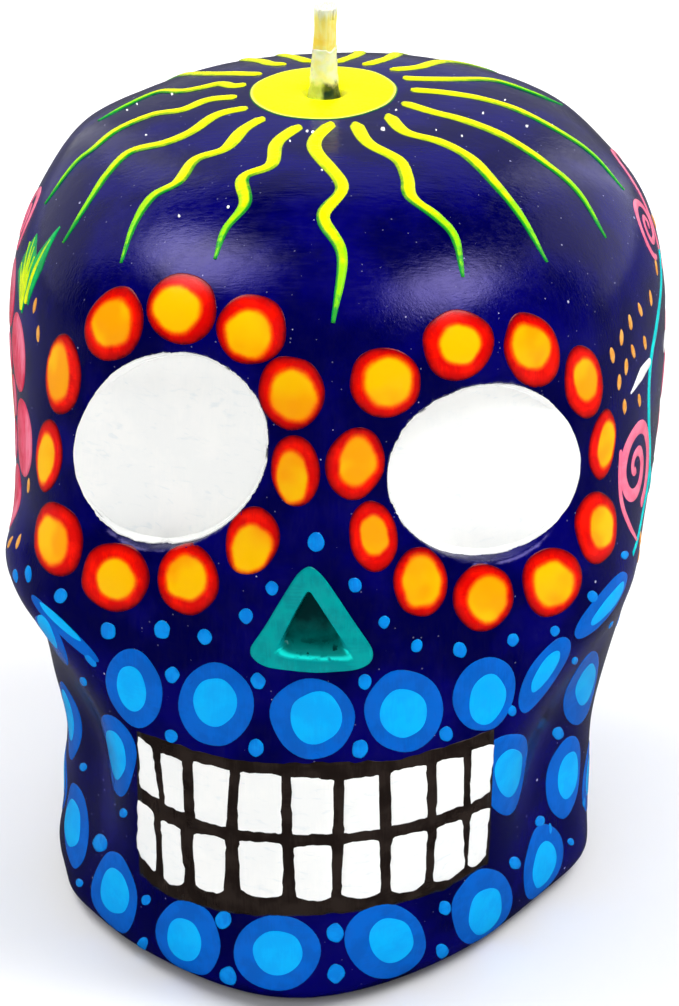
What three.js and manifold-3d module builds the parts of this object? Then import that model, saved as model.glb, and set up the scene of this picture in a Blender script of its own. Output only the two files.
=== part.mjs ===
import * as THREE from "three";
import { mergeVertices } from "three/addons/utils/BufferGeometryUtils.js";
import Module from "manifold-3d";

// A hand-painted skull candle: one wax casting, its wick, and the paint that is laid on thick.
// Millimetres, +Z up, the face looks to -Y. The origin is the middle of the flat base, and left and
// right are as seen from the front.

// Head
const skullHeight = 112.8; // base to crown, without the wick
const skullWidth = 93; // across the temples
const faceReach = 47.6; // from the jaw axis to the front of the teeth
const napeReach = 58; // from the jaw axis to the back of the head
const crownShift = 8.4; // how far the crown's middle lies behind the jaw axis
const footSkew = 4.2; // how far the hand-poured foot stands to the left of the crown
const footSkewPower = 3.2; // how fast the foot's lean dies out on the way up
const baseEdgeRadius = 3.4;
const facetWidth = 3.6; // about the width of one facet of the casting
// Heights of the facets as shares of their width, and how much they crowd on the face
const facetShares = { wall: 0.7, dome: 1.6, crowding: 0.3 };
const crownSquareness = 3.2;
const napeSquareness = 2.15;
const bluntShare = 0.15; // how blunt the sections are where they would come to a tip

// Sections from the base to the temples. Each row is a level, as a share of the height, then the
// half width, the face and the nape, as shares of the sizes above.
const sectionShares = [
  [0, 0.83, 0.965, 0.59],
  [0.1, 0.82, 1, 0.64],
  [0.2, 0.82, 1, 0.72],
  [0.3, 0.86, 0.985, 0.83],
  [0.4, 0.91, 0.975, 0.91],
  [0.48, 0.925, 0.97, 0.95],
  [0.56, 0.975, 0.975, 0.98],
  [0.66, 1, 0.985, 1],
];
// How square the sections are at each level: 2 is an ellipse
const squarenessShares = [
  [0, 1.58],
  [0.2, 1.92],
  [0.4, 2.15],
  [0.6, 2.1],
  [0.78, 1.85],
];
const leanShares = { from: 0.35, to: 0.7 }; // levels between which the head leans back

// Swellings and hollows of the hand-made mould, by side: azimuth and turn are in degrees from the front
const forms = [
  { left: 5.2, right: 3.3, azimuth: 60, turn: 18, levelShare: 0.475, riseShare: 0.06 }, // cheekbone
  { left: -0.6, right: -0.6, azimuth: 75, turn: 20, levelShare: 0.63, riseShare: 0.05 }, // temple
  { left: -4.4, right: -4.2, azimuth: 56, turn: 15, levelShare: 0.25, riseShare: 0.13 }, // cheek
  { left: -1, right: 0, azimuth: 88, turn: 16, levelShare: 0.24, riseShare: 0.08 }, // side of the jaw
  { left: 0.4, right: 1, azimuth: 84, turn: 14, levelShare: 0.1, riseShare: 0.09 }, // jaw corner
  { left: 1.2, right: 0, azimuth: 52, turn: 22, levelShare: 0.02, riseShare: 0.07 }, // side of the chin
];

// Eyes: each socket sinks softly to a recess with a flat floor
const socket = { depth: 2, reachShare: 1.5 };
const eyeWallSlope = 0.06; // how much a recess widens per millimetre of depth
// An eye is an ellipse on a plane that lies the inset behind the teeth, turned by azimuth and pitch.
// Its long axis is tilted on that plane. Its middle is given as shares of the half width and the height.
const eyes = {
  left: {
    xShare: -0.398,
    levelShare: 0.7145,
    width: 33.6,
    height: 24.4,
    tilt: 37,
    inset: 8.3,
    azimuth: -26,
    pitch: 5,
  },
  right: {
    xShare: 0.46,
    levelShare: 0.686,
    width: 29.4,
    height: 23.6,
    tilt: -24,
    inset: 8.7,
    azimuth: 27,
    pitch: 5,
  },
};

// Nose: a triangular band of paint round a triangular hollow
const nose = { width: 18.4, height: 17.4, level: 62, corner: 1.6, x: -0.2 };
const nostril = { width: 11, height: 10.6, depth: 5, corner: 0.6, drop: 0.6, taperShare: 0.7 };

// Teeth: two rows, between painted lines
const mouth = { width: 48.6, x: -0.7, level: 28.8, height: 20.2 };
const toothWidthShares = [0.6, 0.74, 1.18, 1.38, 1.36, 1.25, 1.2, 0.91, 0.65];
const toothGap = 1.1; // width of a line between two teeth
const lineDepth = 0.25; // how far a line lies under the teeth
const lineSlope = 0.15; // width of the paint's edge beside a line

// Sun on the crown, round the wick
const sunRadius = 10.6;

// Wick, the wax that clings to its root, the hole that it comes out of and the tab at its foot
const wick = { x: -1.9, y: 14.5, radius: 1.4, stub: 12.8, lean: 0.5 };
const brush = { radius: 1.7, crown: 0.8 }; // the dry end of the wick, a little frayed
const sleeve = { rootRadius: 2.3, tipRadius: 2.05, height: 4.8 };
const pit = { radius: 3, depth: 1.3 };
const tab = { radius: 7.5, thickness: 0.5, neckHeight: 7, neckWall: 0.4, lift: 0.3 };

// Paint and clearances
const paint = 0.4; // thickness of the thick paint
const clearance = 0.3; // between two pieces
const overrun = 5; // how far a cutter runs past what it cuts
const weld = 0.001; // corners nearer than this are one

const finish = (color, roughness, metalness = 0) =>
  new THREE.MeshStandardMaterial({ color, roughness, metalness });
const materials = {
  wax: finish(0x12085c, 0.28),
  white: finish(0xf6f5ef, 0.45),
  turquoise: finish(0x0f9a98, 0.4),
  yellow: finish(0xf2e713, 0.45),
  cotton: finish(0xe0c68d, 0.95),
  clearWax: finish(0xd9d3c3, 0.5),
  steel: finish(0xb9bcc0, 0.35, 1),
};

// Solids

const wasm = await Module();
wasm.setup();

function solidOf(geometry) {
  const loose = geometry.index ? geometry.toNonIndexed() : geometry;
  const bare = new THREE.BufferGeometry();
  bare.setAttribute("position", loose.getAttribute("position"));
  const merged = mergeVertices(bare, weld);
  return new wasm.Manifold(
    new wasm.Mesh({
      numProp: 3,
      vertProperties: merged.attributes.position.array,
      triVerts: new Uint32Array(merged.index.array),
    }),
  );
}

function geometryOf(solid) {
  const cut = solid.getMesh();
  const geometry = new THREE.BufferGeometry();
  geometry.setAttribute("position", new THREE.BufferAttribute(cut.vertProperties, 3));
  geometry.setIndex(new THREE.BufferAttribute(cut.triVerts, 1));
  geometry.computeVertexNormals();
  return geometry;
}

// Skins a stack of rings with equal counts of points, and closes each end with a fan.
// The rings run anticlockwise as seen from the last one.
function loftGeometry(rings) {
  const count = rings[0].length;
  const middle = (ring) =>
    ring.reduce((sum, point) => sum.add(point), new THREE.Vector3()).divideScalar(count);
  const points = [...rings.flat(), middle(rings[0]), middle(rings.at(-1))];
  const last = (rings.length - 1) * count;
  const faces = [];
  for (let i = 0; i < count; i++) {
    const next = (i + 1) % count;
    for (let low = 0; low < last; low += count) {
      const high = low + count;
      faces.push(low + i, low + next, high + next, low + i, high + next, high + i);
    }
    faces.push(next, i, points.length - 2, last + i, last + next, points.length - 1);
  }
  const geometry = new THREE.BufferGeometry().setFromPoints(points);
  geometry.setIndex(faces);
  return geometry;
}

// Skins rings with equal counts of points into a closed band, the last ring back to the first
function bandGeometry(rings) {
  const count = rings[0].length;
  const total = rings.length * count;
  const faces = [];
  for (let i = 0; i < count; i++) {
    const next = (i + 1) % count;
    for (let low = 0; low < total; low += count) {
      const high = (low + count) % total;
      faces.push(low + i, low + next, high + next, low + i, high + next, high + i);
    }
  }
  const geometry = new THREE.BufferGeometry().setFromPoints(rings.flat());
  geometry.setIndex(faces);
  return geometry;
}

// Skins a stack of rings that each run along a front and back again, and closes each end with the
// strip between its front and its back
function gridGeometry(rings) {
  const count = rings[0].length;
  const last = (rings.length - 1) * count;
  const faces = [];
  for (let i = 0; i < count; i++) {
    const next = (i + 1) % count;
    for (let low = 0; low < last; low += count) {
      const high = low + count;
      faces.push(low + i, low + next, high + next, low + i, high + next, high + i);
    }
  }
  for (let i = 0; i + 1 < count / 2; i++) {
    const back = count - 1 - i;
    faces.push(i, back, i + 1, i + 1, back, back - 1);
    faces.push(last + i, last + i + 1, last + back, last + i + 1, last + back - 1, last + back);
  }
  const geometry = new THREE.BufferGeometry().setFromPoints(rings.flat());
  geometry.setIndex(faces);
  return geometry;
}

// The skin of the head

const halfWidth = skullWidth / 2;
const domeShare = sectionShares.at(-1)[0]; // level at which the dome of the crown begins
const sections = new THREE.CubicInterpolant(
  sectionShares.map((row) => row[0]),
  sectionShares.flatMap((row) => row.slice(1)),
  3,
);
sections.settings = { endingStart: THREE.ZeroCurvatureEnding, endingEnd: THREE.ZeroSlopeEnding };
const squareness = new THREE.CubicInterpolant(
  squarenessShares.map((row) => row[0]),
  squarenessShares.map((row) => row[1]),
  1,
);

function bluntPower(value, power) {
  const raise = (v) => (v * v + bluntShare ** 2) ** (power / 2) - bluntShare ** power;
  return raise(value) / raise(1);
}

function formsAt(azimuth, share) {
  let stand = 0;
  for (const form of forms) {
    const turn = (THREE.MathUtils.radToDeg(Math.abs(azimuth)) - form.azimuth) / form.turn;
    const rise = (share - form.levelShare) / form.riseShare;
    stand += (azimuth < 0 ? form.left : form.right) * Math.exp(-turn * turn - rise * rise);
  }
  return stand;
}

// Where an eye's middle lies, as seen from the front
function eyeMiddle(eye) {
  return new THREE.Vector2(eye.xShare * halfWidth, eye.levelShare * skullHeight);
}

function socketsAt(x, z) {
  let depth = 0;
  for (const eye of Object.values(eyes)) {
    const tilt = THREE.MathUtils.degToRad(eye.tilt);
    const middle = eyeMiddle(eye);
    const from = new THREE.Vector2(x - middle.x, z - middle.y).rotateAround(new THREE.Vector2(), -tilt);
    const far = Math.hypot(from.x / (eye.width / 2), from.y / (eye.height / 2));
    depth += socket.depth * (1 - THREE.MathUtils.smoothstep(far, 1, socket.reachShare));
  }
  return depth;
}

// A point of the skin. Azimuth is 0 at the front and grows towards +X, and stand lifts the point.
function skinPoint(azimuth, share, stand = 0) {
  const [side, face, nape] = sections.evaluate(Math.min(share, domeShare));
  const facePower = squareness.evaluate(Math.min(share, squarenessShares.at(-1)[0]))[0];
  const power = Math.cos(azimuth) > 0 ? facePower : Math.max(facePower, napeSquareness);
  const dome = THREE.MathUtils.clamp((share - domeShare) / (1 - domeShare), 0, 1);
  const swell = (1 - dome ** crownSquareness) ** (1 / crownSquareness);
  const middle = crownShift * THREE.MathUtils.smoothstep(share, leanShares.from, leanShares.to);
  const reach = Math.cos(azimuth) > 0 ? face * faceReach + middle : nape * napeReach - middle;
  const across = bluntPower(Math.abs(Math.sin(azimuth)), power) / (side * halfWidth) ** power;
  const along = bluntPower(Math.abs(Math.cos(azimuth)), power) / reach ** power;
  const z = share * skullHeight;
  const edge = baseEdgeRadius - Math.min(z, baseEdgeRadius);
  const round = baseEdgeRadius - Math.sqrt(baseEdgeRadius ** 2 - edge ** 2);
  let radius = ((across + along) ** (-1 / power) + formsAt(azimuth, share)) * swell - round;
  if (Math.cos(azimuth) > 0) {
    radius -= socketsAt(radius * Math.sin(azimuth), z) * swell;
  }
  radius += stand;
  const skew = footSkew * (1 - share) ** footSkewPower;
  return new THREE.Vector3(radius * Math.sin(azimuth) - skew, middle - radius * Math.cos(azimuth), z);
}

// The point of the face's skin at a given x and z, found by halving the azimuths between the sides
function facePoint(x, z, stand = 0) {
  let low = -Math.PI / 2;
  let high = Math.PI / 2;
  for (let i = 0; i < 24; i++) {
    const turn = (low + high) / 2;
    if (skinPoint(turn, z / skullHeight, stand).x < x) {
      low = turn;
    } else {
      high = turn;
    }
  }
  return skinPoint(low, z / skullHeight, stand);
}

// Azimuths round one ring, closer together on the face than at the back
function ringAzimuths() {
  const count = Math.round((Math.PI * skullWidth) / facetWidth);
  return Array.from({ length: count }, (_, i) => {
    const turn = (2 * Math.PI * i) / count;
    return turn - facetShares.crowding * Math.sin(turn) - (turn > Math.PI ? 2 * Math.PI : 0);
  });
}

// Levels from the base to the crown: round the base's edge, up the wall and along the dome's curve
function ringShares() {
  const edgeShare = baseEdgeRadius / skullHeight;
  const edgeSteps = 3;
  const wallHeight = (domeShare - edgeShare) * skullHeight;
  const wallSteps = Math.round(wallHeight / (facetWidth * facetShares.wall));
  const domeReach = (1 - domeShare) * skullHeight + halfWidth;
  const domeSteps = Math.round(domeReach / (facetWidth * facetShares.dome));
  const shares = [];
  for (let i = 0; i < edgeSteps; i++) {
    shares.push(edgeShare * (1 - Math.cos((Math.PI * i) / (2 * edgeSteps))));
  }
  for (let i = 0; i < wallSteps; i++) {
    shares.push(THREE.MathUtils.lerp(edgeShare, domeShare, i / wallSteps));
  }
  for (let i = 0; i < domeSteps; i++) {
    const angle = (Math.PI * i) / (2 * domeSteps);
    shares.push(THREE.MathUtils.lerp(domeShare, 1, Math.sin(angle) ** (2 / crownSquareness)));
  }
  return shares;
}

function castingGeometry() {
  const azimuths = ringAzimuths();
  return loftGeometry(ringShares().map((share) => azimuths.map((turn) => skinPoint(turn, share))));
}

// Eyes

// The frame of an eye's floor: its middle, with z out of the face, x across and y up
function eyeFrame(eye) {
  const turn = THREE.MathUtils.degToRad(eye.azimuth);
  const pitch = THREE.MathUtils.degToRad(eye.pitch);
  const out = new THREE.Vector3(Math.sin(turn), -Math.cos(turn), 0);
  const across = new THREE.Vector3(Math.cos(turn), Math.sin(turn), 0);
  const { x, y: level } = eyeMiddle(eye);
  const middle = new THREE.Vector3(x, (x * out.x - faceReach + eye.inset) / -out.y, level);
  out.multiplyScalar(Math.cos(pitch)).setZ(Math.sin(pitch));
  const up = new THREE.Vector3().crossVectors(out, across);
  return new THREE.Matrix4().makeBasis(across, up, out).setPosition(middle);
}

function eyeRing(eye, grow, height) {
  const steps = 44;
  const frame = eyeFrame(eye).multiply(
    new THREE.Matrix4().makeRotationZ(THREE.MathUtils.degToRad(eye.tilt)),
  );
  return Array.from({ length: steps }, (_, i) => {
    const turn = (2 * Math.PI * i) / steps;
    const x = (eye.width / 2 + grow) * Math.cos(turn);
    const y = (eye.height / 2 + grow) * Math.sin(turn);
    return new THREE.Vector3(x, y, height).applyMatrix4(frame);
  });
}

function eyeCutter(eye) {
  const top = eye.inset + overrun;
  return solidOf(loftGeometry([eyeRing(eye, 0, 0), eyeRing(eye, eyeWallSlope * top, top)]));
}

function eyeEnamel(eye) {
  const low = eyeRing(eye, -clearance, clearance);
  const high = eyeRing(eye, -clearance, clearance + paint);
  return loftGeometry([low, high]);
}

// Nose

// A triangle with round corners, point up, its middle at the origin
function triangleOutline(width, height, corner) {
  const cornerSteps = 4;
  const sideSteps = 6;
  const slope = Math.atan2(height, width / 2);
  const inset = corner / Math.tan(slope / 2);
  const right = Math.PI / 2 - slope;
  const left = Math.PI / 2 + slope;
  const arcs = [
    { x: width / 2 - inset, y: corner - height / 2, from: -Math.PI / 2, to: right },
    { x: 0, y: height / 2 - corner / Math.cos(slope), from: right, to: left },
    { x: inset - width / 2, y: corner - height / 2, from: left, to: (3 * Math.PI) / 2 },
  ];
  const round = arcs.map((arc) =>
    Array.from({ length: cornerSteps + 1 }, (_, i) => {
      const turn = THREE.MathUtils.lerp(arc.from, arc.to, i / cornerSteps);
      return new THREE.Vector2(arc.x + corner * Math.cos(turn), arc.y + corner * Math.sin(turn));
    }),
  );
  return round.flatMap((points, i) => {
    const next = round[(i + 1) % round.length][0];
    const side = Array.from({ length: sideSteps - 1 }, (_, j) =>
      points.at(-1).clone().lerp(next, (j + 1) / sideSteps),
    );
    return [...points, ...side];
  });
}

const nostrilLevel = nose.level - nostril.drop;

function nostrilOutline(grow = 0) {
  return triangleOutline(nostril.width + 2 * grow, nostril.height + 2 * grow, nostril.corner + grow);
}

function nostrilCutter() {
  const ringAt = (share, y) =>
    nostrilOutline().map(
      (point) => new THREE.Vector3(nose.x + point.x * share, y, nostrilLevel + point.y * share),
    );
  const floor = ringAt(nostril.taperShare, nostril.depth - faceReach);
  return solidOf(loftGeometry([floor, ringAt(1, -faceReach), ringAt(1, -faceReach - overrun)]));
}

function noseEnamel() {
  const outer = triangleOutline(nose.width, nose.height, nose.corner).map(
    (point) => new THREE.Vector2(nose.x + point.x, nose.level + point.y),
  );
  const inner = nostrilOutline(clearance).map(
    (point) => new THREE.Vector2(nose.x + point.x, nostrilLevel + point.y),
  );
  const middle = outer.map((point, i) => point.clone().lerp(inner[i], 0.5));
  const onFace = (outline, stand) =>
    outline.map((point) => new THREE.Vector3(point.x, facePoint(point.x, point.y, stand).y, point.y));
  const back = clearance;
  const front = clearance + paint;
  return bandGeometry([
    onFace(outer, back),
    onFace(outer, front),
    onFace(middle, front),
    onFace(inner, front),
    onFace(inner, back),
    onFace(middle, back),
  ]);
}

// Teeth

// Where each column of corners of the teeth stands, and whether it is on a tooth
function toothColumns() {
  const total = toothWidthShares.reduce((sum, share) => sum + share);
  const columns = [];
  let left = mouth.x - mouth.width / 2;
  toothWidthShares.forEach((share, i) => {
    const right = left + (mouth.width * share) / total;
    const from = i === 0 ? left : left + toothGap / 2;
    const to = i === toothWidthShares.length - 1 ? right : right - toothGap / 2;
    if (i > 0) {
      columns.push({ at: from - lineSlope, tooth: false });
    }
    columns.push({ at: from, tooth: true }, { at: (from + to) / 2, tooth: true }, { at: to, tooth: true });
    if (i < toothWidthShares.length - 1) {
      columns.push({ at: to + lineSlope, tooth: false });
    }
    left = right;
  });
  return columns;
}

function toothRows() {
  const half = mouth.height / 2;
  const gap = toothGap / 2;
  return [
    { at: mouth.level - half, tooth: true },
    { at: mouth.level - (half + gap) / 2, tooth: true },
    { at: mouth.level - gap, tooth: true },
    { at: mouth.level - gap + lineSlope, tooth: false },
    { at: mouth.level + gap - lineSlope, tooth: false },
    { at: mouth.level + gap, tooth: true },
    { at: mouth.level + (half + gap) / 2, tooth: true },
    { at: mouth.level + half, tooth: true },
  ];
}

function teethEnamel() {
  const columns = toothColumns();
  const across = [...columns, ...[...columns].reverse()];
  const rings = toothRows().map((row) =>
    across.map((column, i) => {
      const top = row.tooth && column.tooth ? paint : paint - lineDepth;
      const stand = clearance + (i < columns.length ? top : 0);
      const point = facePoint(column.at, row.at, stand);
      return new THREE.Vector3(column.at, point.y, row.at);
    }),
  );
  return gridGeometry(rings);
}

// Crown

function sunEnamel() {
  const shape = new THREE.Shape().absarc(0, 0, sunRadius, 0, 2 * Math.PI);
  shape.holes.push(new THREE.Path().absarc(0, 0, pit.radius + clearance, 0, 2 * Math.PI));
  const disc = new THREE.ExtrudeGeometry(shape, { depth: paint, bevelEnabled: false, curveSegments: 24 });
  return disc.translate(wick.x, wick.y, skullHeight + clearance);
}

// Wick

const tabTop = tab.lift + tab.thickness;
const neckTop = tabTop + tab.neckHeight;
const boreRadius = wick.radius + clearance;
const neckRadius = boreRadius + tab.neckWall;
const wickSides = 20;

// A turned shape about the wick's line, from a profile of radius and height
function turned(profile, sides = wickSides) {
  const points = profile.map(([radius, height]) => new THREE.Vector2(radius, height));
  return new THREE.LatheGeometry(points, sides).rotateX(Math.PI / 2).translate(wick.x, wick.y, 0);
}

function passageCutter() {
  const pocket = tabTop + clearance;
  const pitFloor = skullHeight - pit.depth;
  return solidOf(
    turned(
      [
        [0, -overrun],
        [tab.radius + clearance, -overrun],
        [tab.radius + clearance, pocket],
        [neckRadius + clearance, pocket],
        [neckRadius + clearance, neckTop + clearance],
        [boreRadius, neckTop + clearance],
        [boreRadius, pitFloor],
        [pit.radius, pitFloor],
        [pit.radius, skullHeight + overrun],
        [0, skullHeight + overrun],
      ],
      2 * wickSides,
    ),
  );
}

function tabGeometry() {
  return turned(
    [
      [boreRadius, tab.lift],
      [tab.radius, tab.lift],
      [tab.radius, tabTop],
      [neckRadius, tabTop],
      [neckRadius, neckTop],
      [boreRadius, neckTop],
      [boreRadius, tab.lift],
    ],
    2 * wickSides,
  );
}

function sleeveGeometry() {
  const foot = skullHeight - pit.depth;
  const tip = skullHeight + sleeve.height;
  return turned([
    [boreRadius, foot],
    [sleeve.rootRadius, foot],
    [sleeve.rootRadius, skullHeight],
    [sleeve.tipRadius, tip],
    [boreRadius, tip],
    [boreRadius, foot],
  ]);
}

function wickGeometry() {
  const brushFoot = skullHeight + sleeve.height + clearance;
  const tip = skullHeight + wick.stub;
  const profile = [
    [wick.radius, tab.lift],
    [wick.radius, skullHeight],
    [wick.radius, brushFoot],
    [brush.radius, brushFoot + brush.radius - wick.radius],
    [brush.radius, (brushFoot + tip) / 2],
    [brush.radius, tip - brush.crown],
    [brush.radius - brush.crown / 2, tip],
  ];
  const rings = profile.map(([radius, z]) => {
    const rise = Math.max(0, z - skullHeight) / wick.stub;
    return Array.from({ length: wickSides }, (_, i) => {
      const turn = (2 * Math.PI * i) / wickSides;
      const x = wick.x + wick.lean * rise ** 2 + radius * Math.cos(turn);
      return new THREE.Vector3(x, wick.y + radius * Math.sin(turn), z);
    });
  });
  return loftGeometry(rings);
}

// Assembly

function waxSkull() {
  const casting = solidOf(castingGeometry());
  const cutters = [eyeCutter(eyes.left), eyeCutter(eyes.right), nostrilCutter(), passageCutter()];
  return geometryOf(cutters.reduce((solid, cutter) => solid.subtract(cutter), casting));
}

const candle = new THREE.Group();
const pieces = new THREE.Group();
candle.add(pieces);

function addPiece(name, geometry, material) {
  const mesh = new THREE.Mesh(geometry, material);
  mesh.name = name;
  pieces.add(mesh);
}

addPiece("wax_skull", waxSkull(), materials.wax);
addPiece("left_eye_enamel", eyeEnamel(eyes.left), materials.white);
addPiece("right_eye_enamel", eyeEnamel(eyes.right), materials.white);
addPiece("nose_enamel", noseEnamel(), materials.turquoise);
addPiece("teeth_enamel", teethEnamel(), materials.white);
addPiece("sun_enamel", sunEnamel(), materials.yellow);
addPiece("wick", wickGeometry(), materials.cotton);
addPiece("wick_wax_sleeve", sleeveGeometry(), materials.clearWax);
addPiece("wick_tab", tabGeometry(), materials.steel);

// The origin is under the middle of the whole candle
const middle = new THREE.Box3().setFromObject(pieces).getCenter(new THREE.Vector3());
pieces.position.set(-middle.x, -middle.y, 0);

export default candle;
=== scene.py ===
import math
import random

import bmesh
import bpy
import numpy as np
from mathutils import Matrix, Vector, noise
from mathutils.bvhtree import BVHTree


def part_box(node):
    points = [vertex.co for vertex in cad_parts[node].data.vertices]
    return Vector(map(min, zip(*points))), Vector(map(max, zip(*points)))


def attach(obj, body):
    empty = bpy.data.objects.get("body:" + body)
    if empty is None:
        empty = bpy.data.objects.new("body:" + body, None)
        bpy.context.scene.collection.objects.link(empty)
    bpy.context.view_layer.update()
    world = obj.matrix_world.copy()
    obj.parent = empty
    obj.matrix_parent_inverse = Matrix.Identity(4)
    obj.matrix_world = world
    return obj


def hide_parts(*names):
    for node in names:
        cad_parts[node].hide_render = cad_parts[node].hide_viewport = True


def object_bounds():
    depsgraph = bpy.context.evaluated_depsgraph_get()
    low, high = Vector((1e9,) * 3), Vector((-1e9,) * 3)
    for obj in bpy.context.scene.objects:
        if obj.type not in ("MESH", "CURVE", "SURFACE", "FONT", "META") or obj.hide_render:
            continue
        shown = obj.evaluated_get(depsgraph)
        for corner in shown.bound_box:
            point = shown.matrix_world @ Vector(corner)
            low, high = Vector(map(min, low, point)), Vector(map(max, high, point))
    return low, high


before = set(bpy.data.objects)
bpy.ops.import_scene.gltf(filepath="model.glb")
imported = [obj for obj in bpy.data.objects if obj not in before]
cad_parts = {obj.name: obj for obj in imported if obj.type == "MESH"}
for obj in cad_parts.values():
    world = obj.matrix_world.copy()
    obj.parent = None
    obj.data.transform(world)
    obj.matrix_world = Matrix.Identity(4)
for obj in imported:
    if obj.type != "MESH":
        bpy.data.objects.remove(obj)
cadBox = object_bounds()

mm = 0.001
scene = bpy.context.scene
scene.view_settings.view_transform = "Standard"  # the paints are bright, and a film look greys them
noise.seed_set(4)  # noise_vector goes by the clock otherwise

# A hand-painted skull candle. Marks that the photograph shows are placed by its pixels, the others
# by their direction from the middle of the head: azimuth 0 is the front, 90 the viewer's right.

photo = {
    "width": 679,
    "height": 1006,
    "azimuth": 4.51,
    "elevation": 25.35,
    "roll": -1.1,
    "distance": 600 * mm,
    "target": Vector((0.37, -4.89, 56.09)) * mm,
    "pixelsPerMetre": 7030,  # at the target
}


# Small helpers

def clamped(value, low=0, high=1):
    return min(high, max(low, value))


def ripple(x, y, z):  # smooth noise, from -1 to 1
    return noise.noise(Vector((x, y, z)))


def ringWave(turn, seed, pace):  # smooth noise along a circle, where its ends meet
    return noise.noise(Vector((math.cos(turn), math.sin(turn), seed)) * pace)


def asMesh(bm, name):
    mesh = bpy.data.meshes.new(name)
    bm.to_mesh(mesh)
    bm.free()
    return mesh


def linked(name, data):
    made = bpy.data.objects.new(name, data)
    scene.collection.objects.link(made)
    return made


# Camera

def outward(azimuth, elevation):
    turn, rise = math.radians(azimuth), math.radians(elevation)
    return Vector((math.sin(turn) * math.cos(rise), -math.cos(turn) * math.cos(rise), math.sin(rise)))


def photoAxes():
    azimuth, roll = math.radians(photo["azimuth"]), math.radians(photo["roll"])
    back = outward(photo["azimuth"], photo["elevation"])
    level = Vector((math.cos(azimuth), math.sin(azimuth), 0))
    upright = back.cross(level)
    right = level * math.cos(roll) + upright * math.sin(roll)
    return right, back.cross(right), back


photoRight, photoUp, photoBack = photoAxes()
cameraPoint = photo["target"] + photoBack * photo["distance"]
focalPixels = photo["pixelsPerMetre"] * photo["distance"]


def makeCamera():
    data = bpy.data.cameras.new("photoCamera")
    data.sensor_width = 36
    data.lens = focalPixels * data.sensor_width / photo["height"]
    turn = Matrix((photoRight, photoUp, photoBack)).transposed()
    camera = linked("photoCamera", data)
    camera.matrix_world = Matrix.Translation(cameraPoint) @ turn.to_4x4()
    scene.camera = camera


def pixelRay(x, y):  # the direction that a pixel of the photograph looks in
    ahead = -photoBack * focalPixels
    aside = photoRight * (x - photo["width"] / 2) - photoUp * (y - photo["height"] / 2)
    return (ahead + aside).normalized()


makeCamera()
print("camera is set")


# Shader helpers

def ink(red, green, blue):  # a colour as the eye sees it, 0 to 255, as the shader wants it
    def linear(value):
        share = value / 255
        return share / 12.92 if share < 0.04045 else ((share + 0.055) / 1.055) ** 2.4
    return (linear(red), linear(green), linear(blue), 1)


class Nodes:  # a node tree that is being laid out; place is what its patterns lie on
    def __init__(self, tree, place=None):
        self.tree = tree
        self.place = place

    def feed(self, socket, value):
        if isinstance(value, bpy.types.NodeSocket):
            self.tree.links.new(value, socket)
        else:
            socket.default_value = value

    def add(self, kind, sockets=None, **settings):
        made = self.tree.nodes.new("ShaderNode" + kind)
        for name, value in settings.items():
            setattr(made, name, value)
        for name, value in (sockets or {}).items():
            self.feed(made.inputs[name], value)
        return made

    def calc(self, operation, first, second):
        return self.add("Math", {0: first, 1: second}, operation=operation).outputs[0]

    def times(self, first, second):
        return self.calc("MULTIPLY", first, second)

    def plus(self, first, second, share=1):  # first and a share of second
        return self.calc("ADD", first, second if share == 1 else self.times(second, share))

    def fade(self, value, low, high, start=0.0, end=1.0):  # goes smoothly from start at low to end at high
        sockets = {"Value": value, "From Min": low, "From Max": high, "To Min": start, "To Max": end}
        return self.add("MapRange", sockets, interpolation_type="SMOOTHSTEP").outputs[0]

    def mix(self, share, first, second):
        return self.add("Mix", {0: share, 6: first, 7: second}, data_type="RGBA").outputs[2]

    def grain(self, scale, detail=3.0, stretch=(1, 1, 1), turn=(0, 0, 0), warp=0.0):
        mapped = self.add("Mapping", {"Vector": self.place, "Scale": stretch, "Rotation": turn})
        sockets = {"Vector": mapped.outputs[0], "Scale": scale, "Detail": detail, "Distortion": warp}
        return self.add("TexNoise", sockets).outputs[0]

    def use(self, group, sockets):
        return self.add("Group", sockets, node_tree=group).outputs[0]


def newGroup(name, takes, gives):  # a group that takes a place and numbers, and gives one number
    tree = bpy.data.node_groups.new(name, "ShaderNodeTree")
    tree.interface.new_socket("Place", in_out="INPUT", socket_type="NodeSocketVector")
    for label in takes:
        tree.interface.new_socket(label, in_out="INPUT", socket_type="NodeSocketFloat")
    tree.interface.new_socket(gives, in_out="OUTPUT", socket_type="NodeSocketFloat")
    given = tree.nodes.new("NodeGroupInput").outputs
    return Nodes(tree, given["Place"]), given, tree.nodes.new("NodeGroupOutput").inputs[gives]


def makeBrushGroup():  # fine strokes of a soft brush: upright, or level where Level is 1
    nodes, given, height = newGroup("brushStrokes", ("Scale", "Level"), "Height")
    scaled = nodes.add("VectorMath", {0: given["Place"], "Scale": given["Scale"]}, operation="SCALE")
    nodes.place = scaled.outputs[0]
    upright = nodes.grain(1.5, 4, (1, 1, 0.1), (0.15, 0.25, 0.3), 0.5)
    level = nodes.grain(1.5, 4, (0.08, 0.5, 1), (0.1, 0.1, 0.12), 0.5)
    patch = nodes.plus(nodes.fade(nodes.grain(0.05, 2), 0.5, 0.62), given["Level"])
    strokes = nodes.add("Mix", {0: patch, 2: upright, 3: level}, data_type="FLOAT", clamp_factor=True)
    nodes.feed(height, nodes.plus(nodes.times(strokes.outputs[0], 0.7), nodes.grain(0.3), 0.6))
    return nodes.tree


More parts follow.
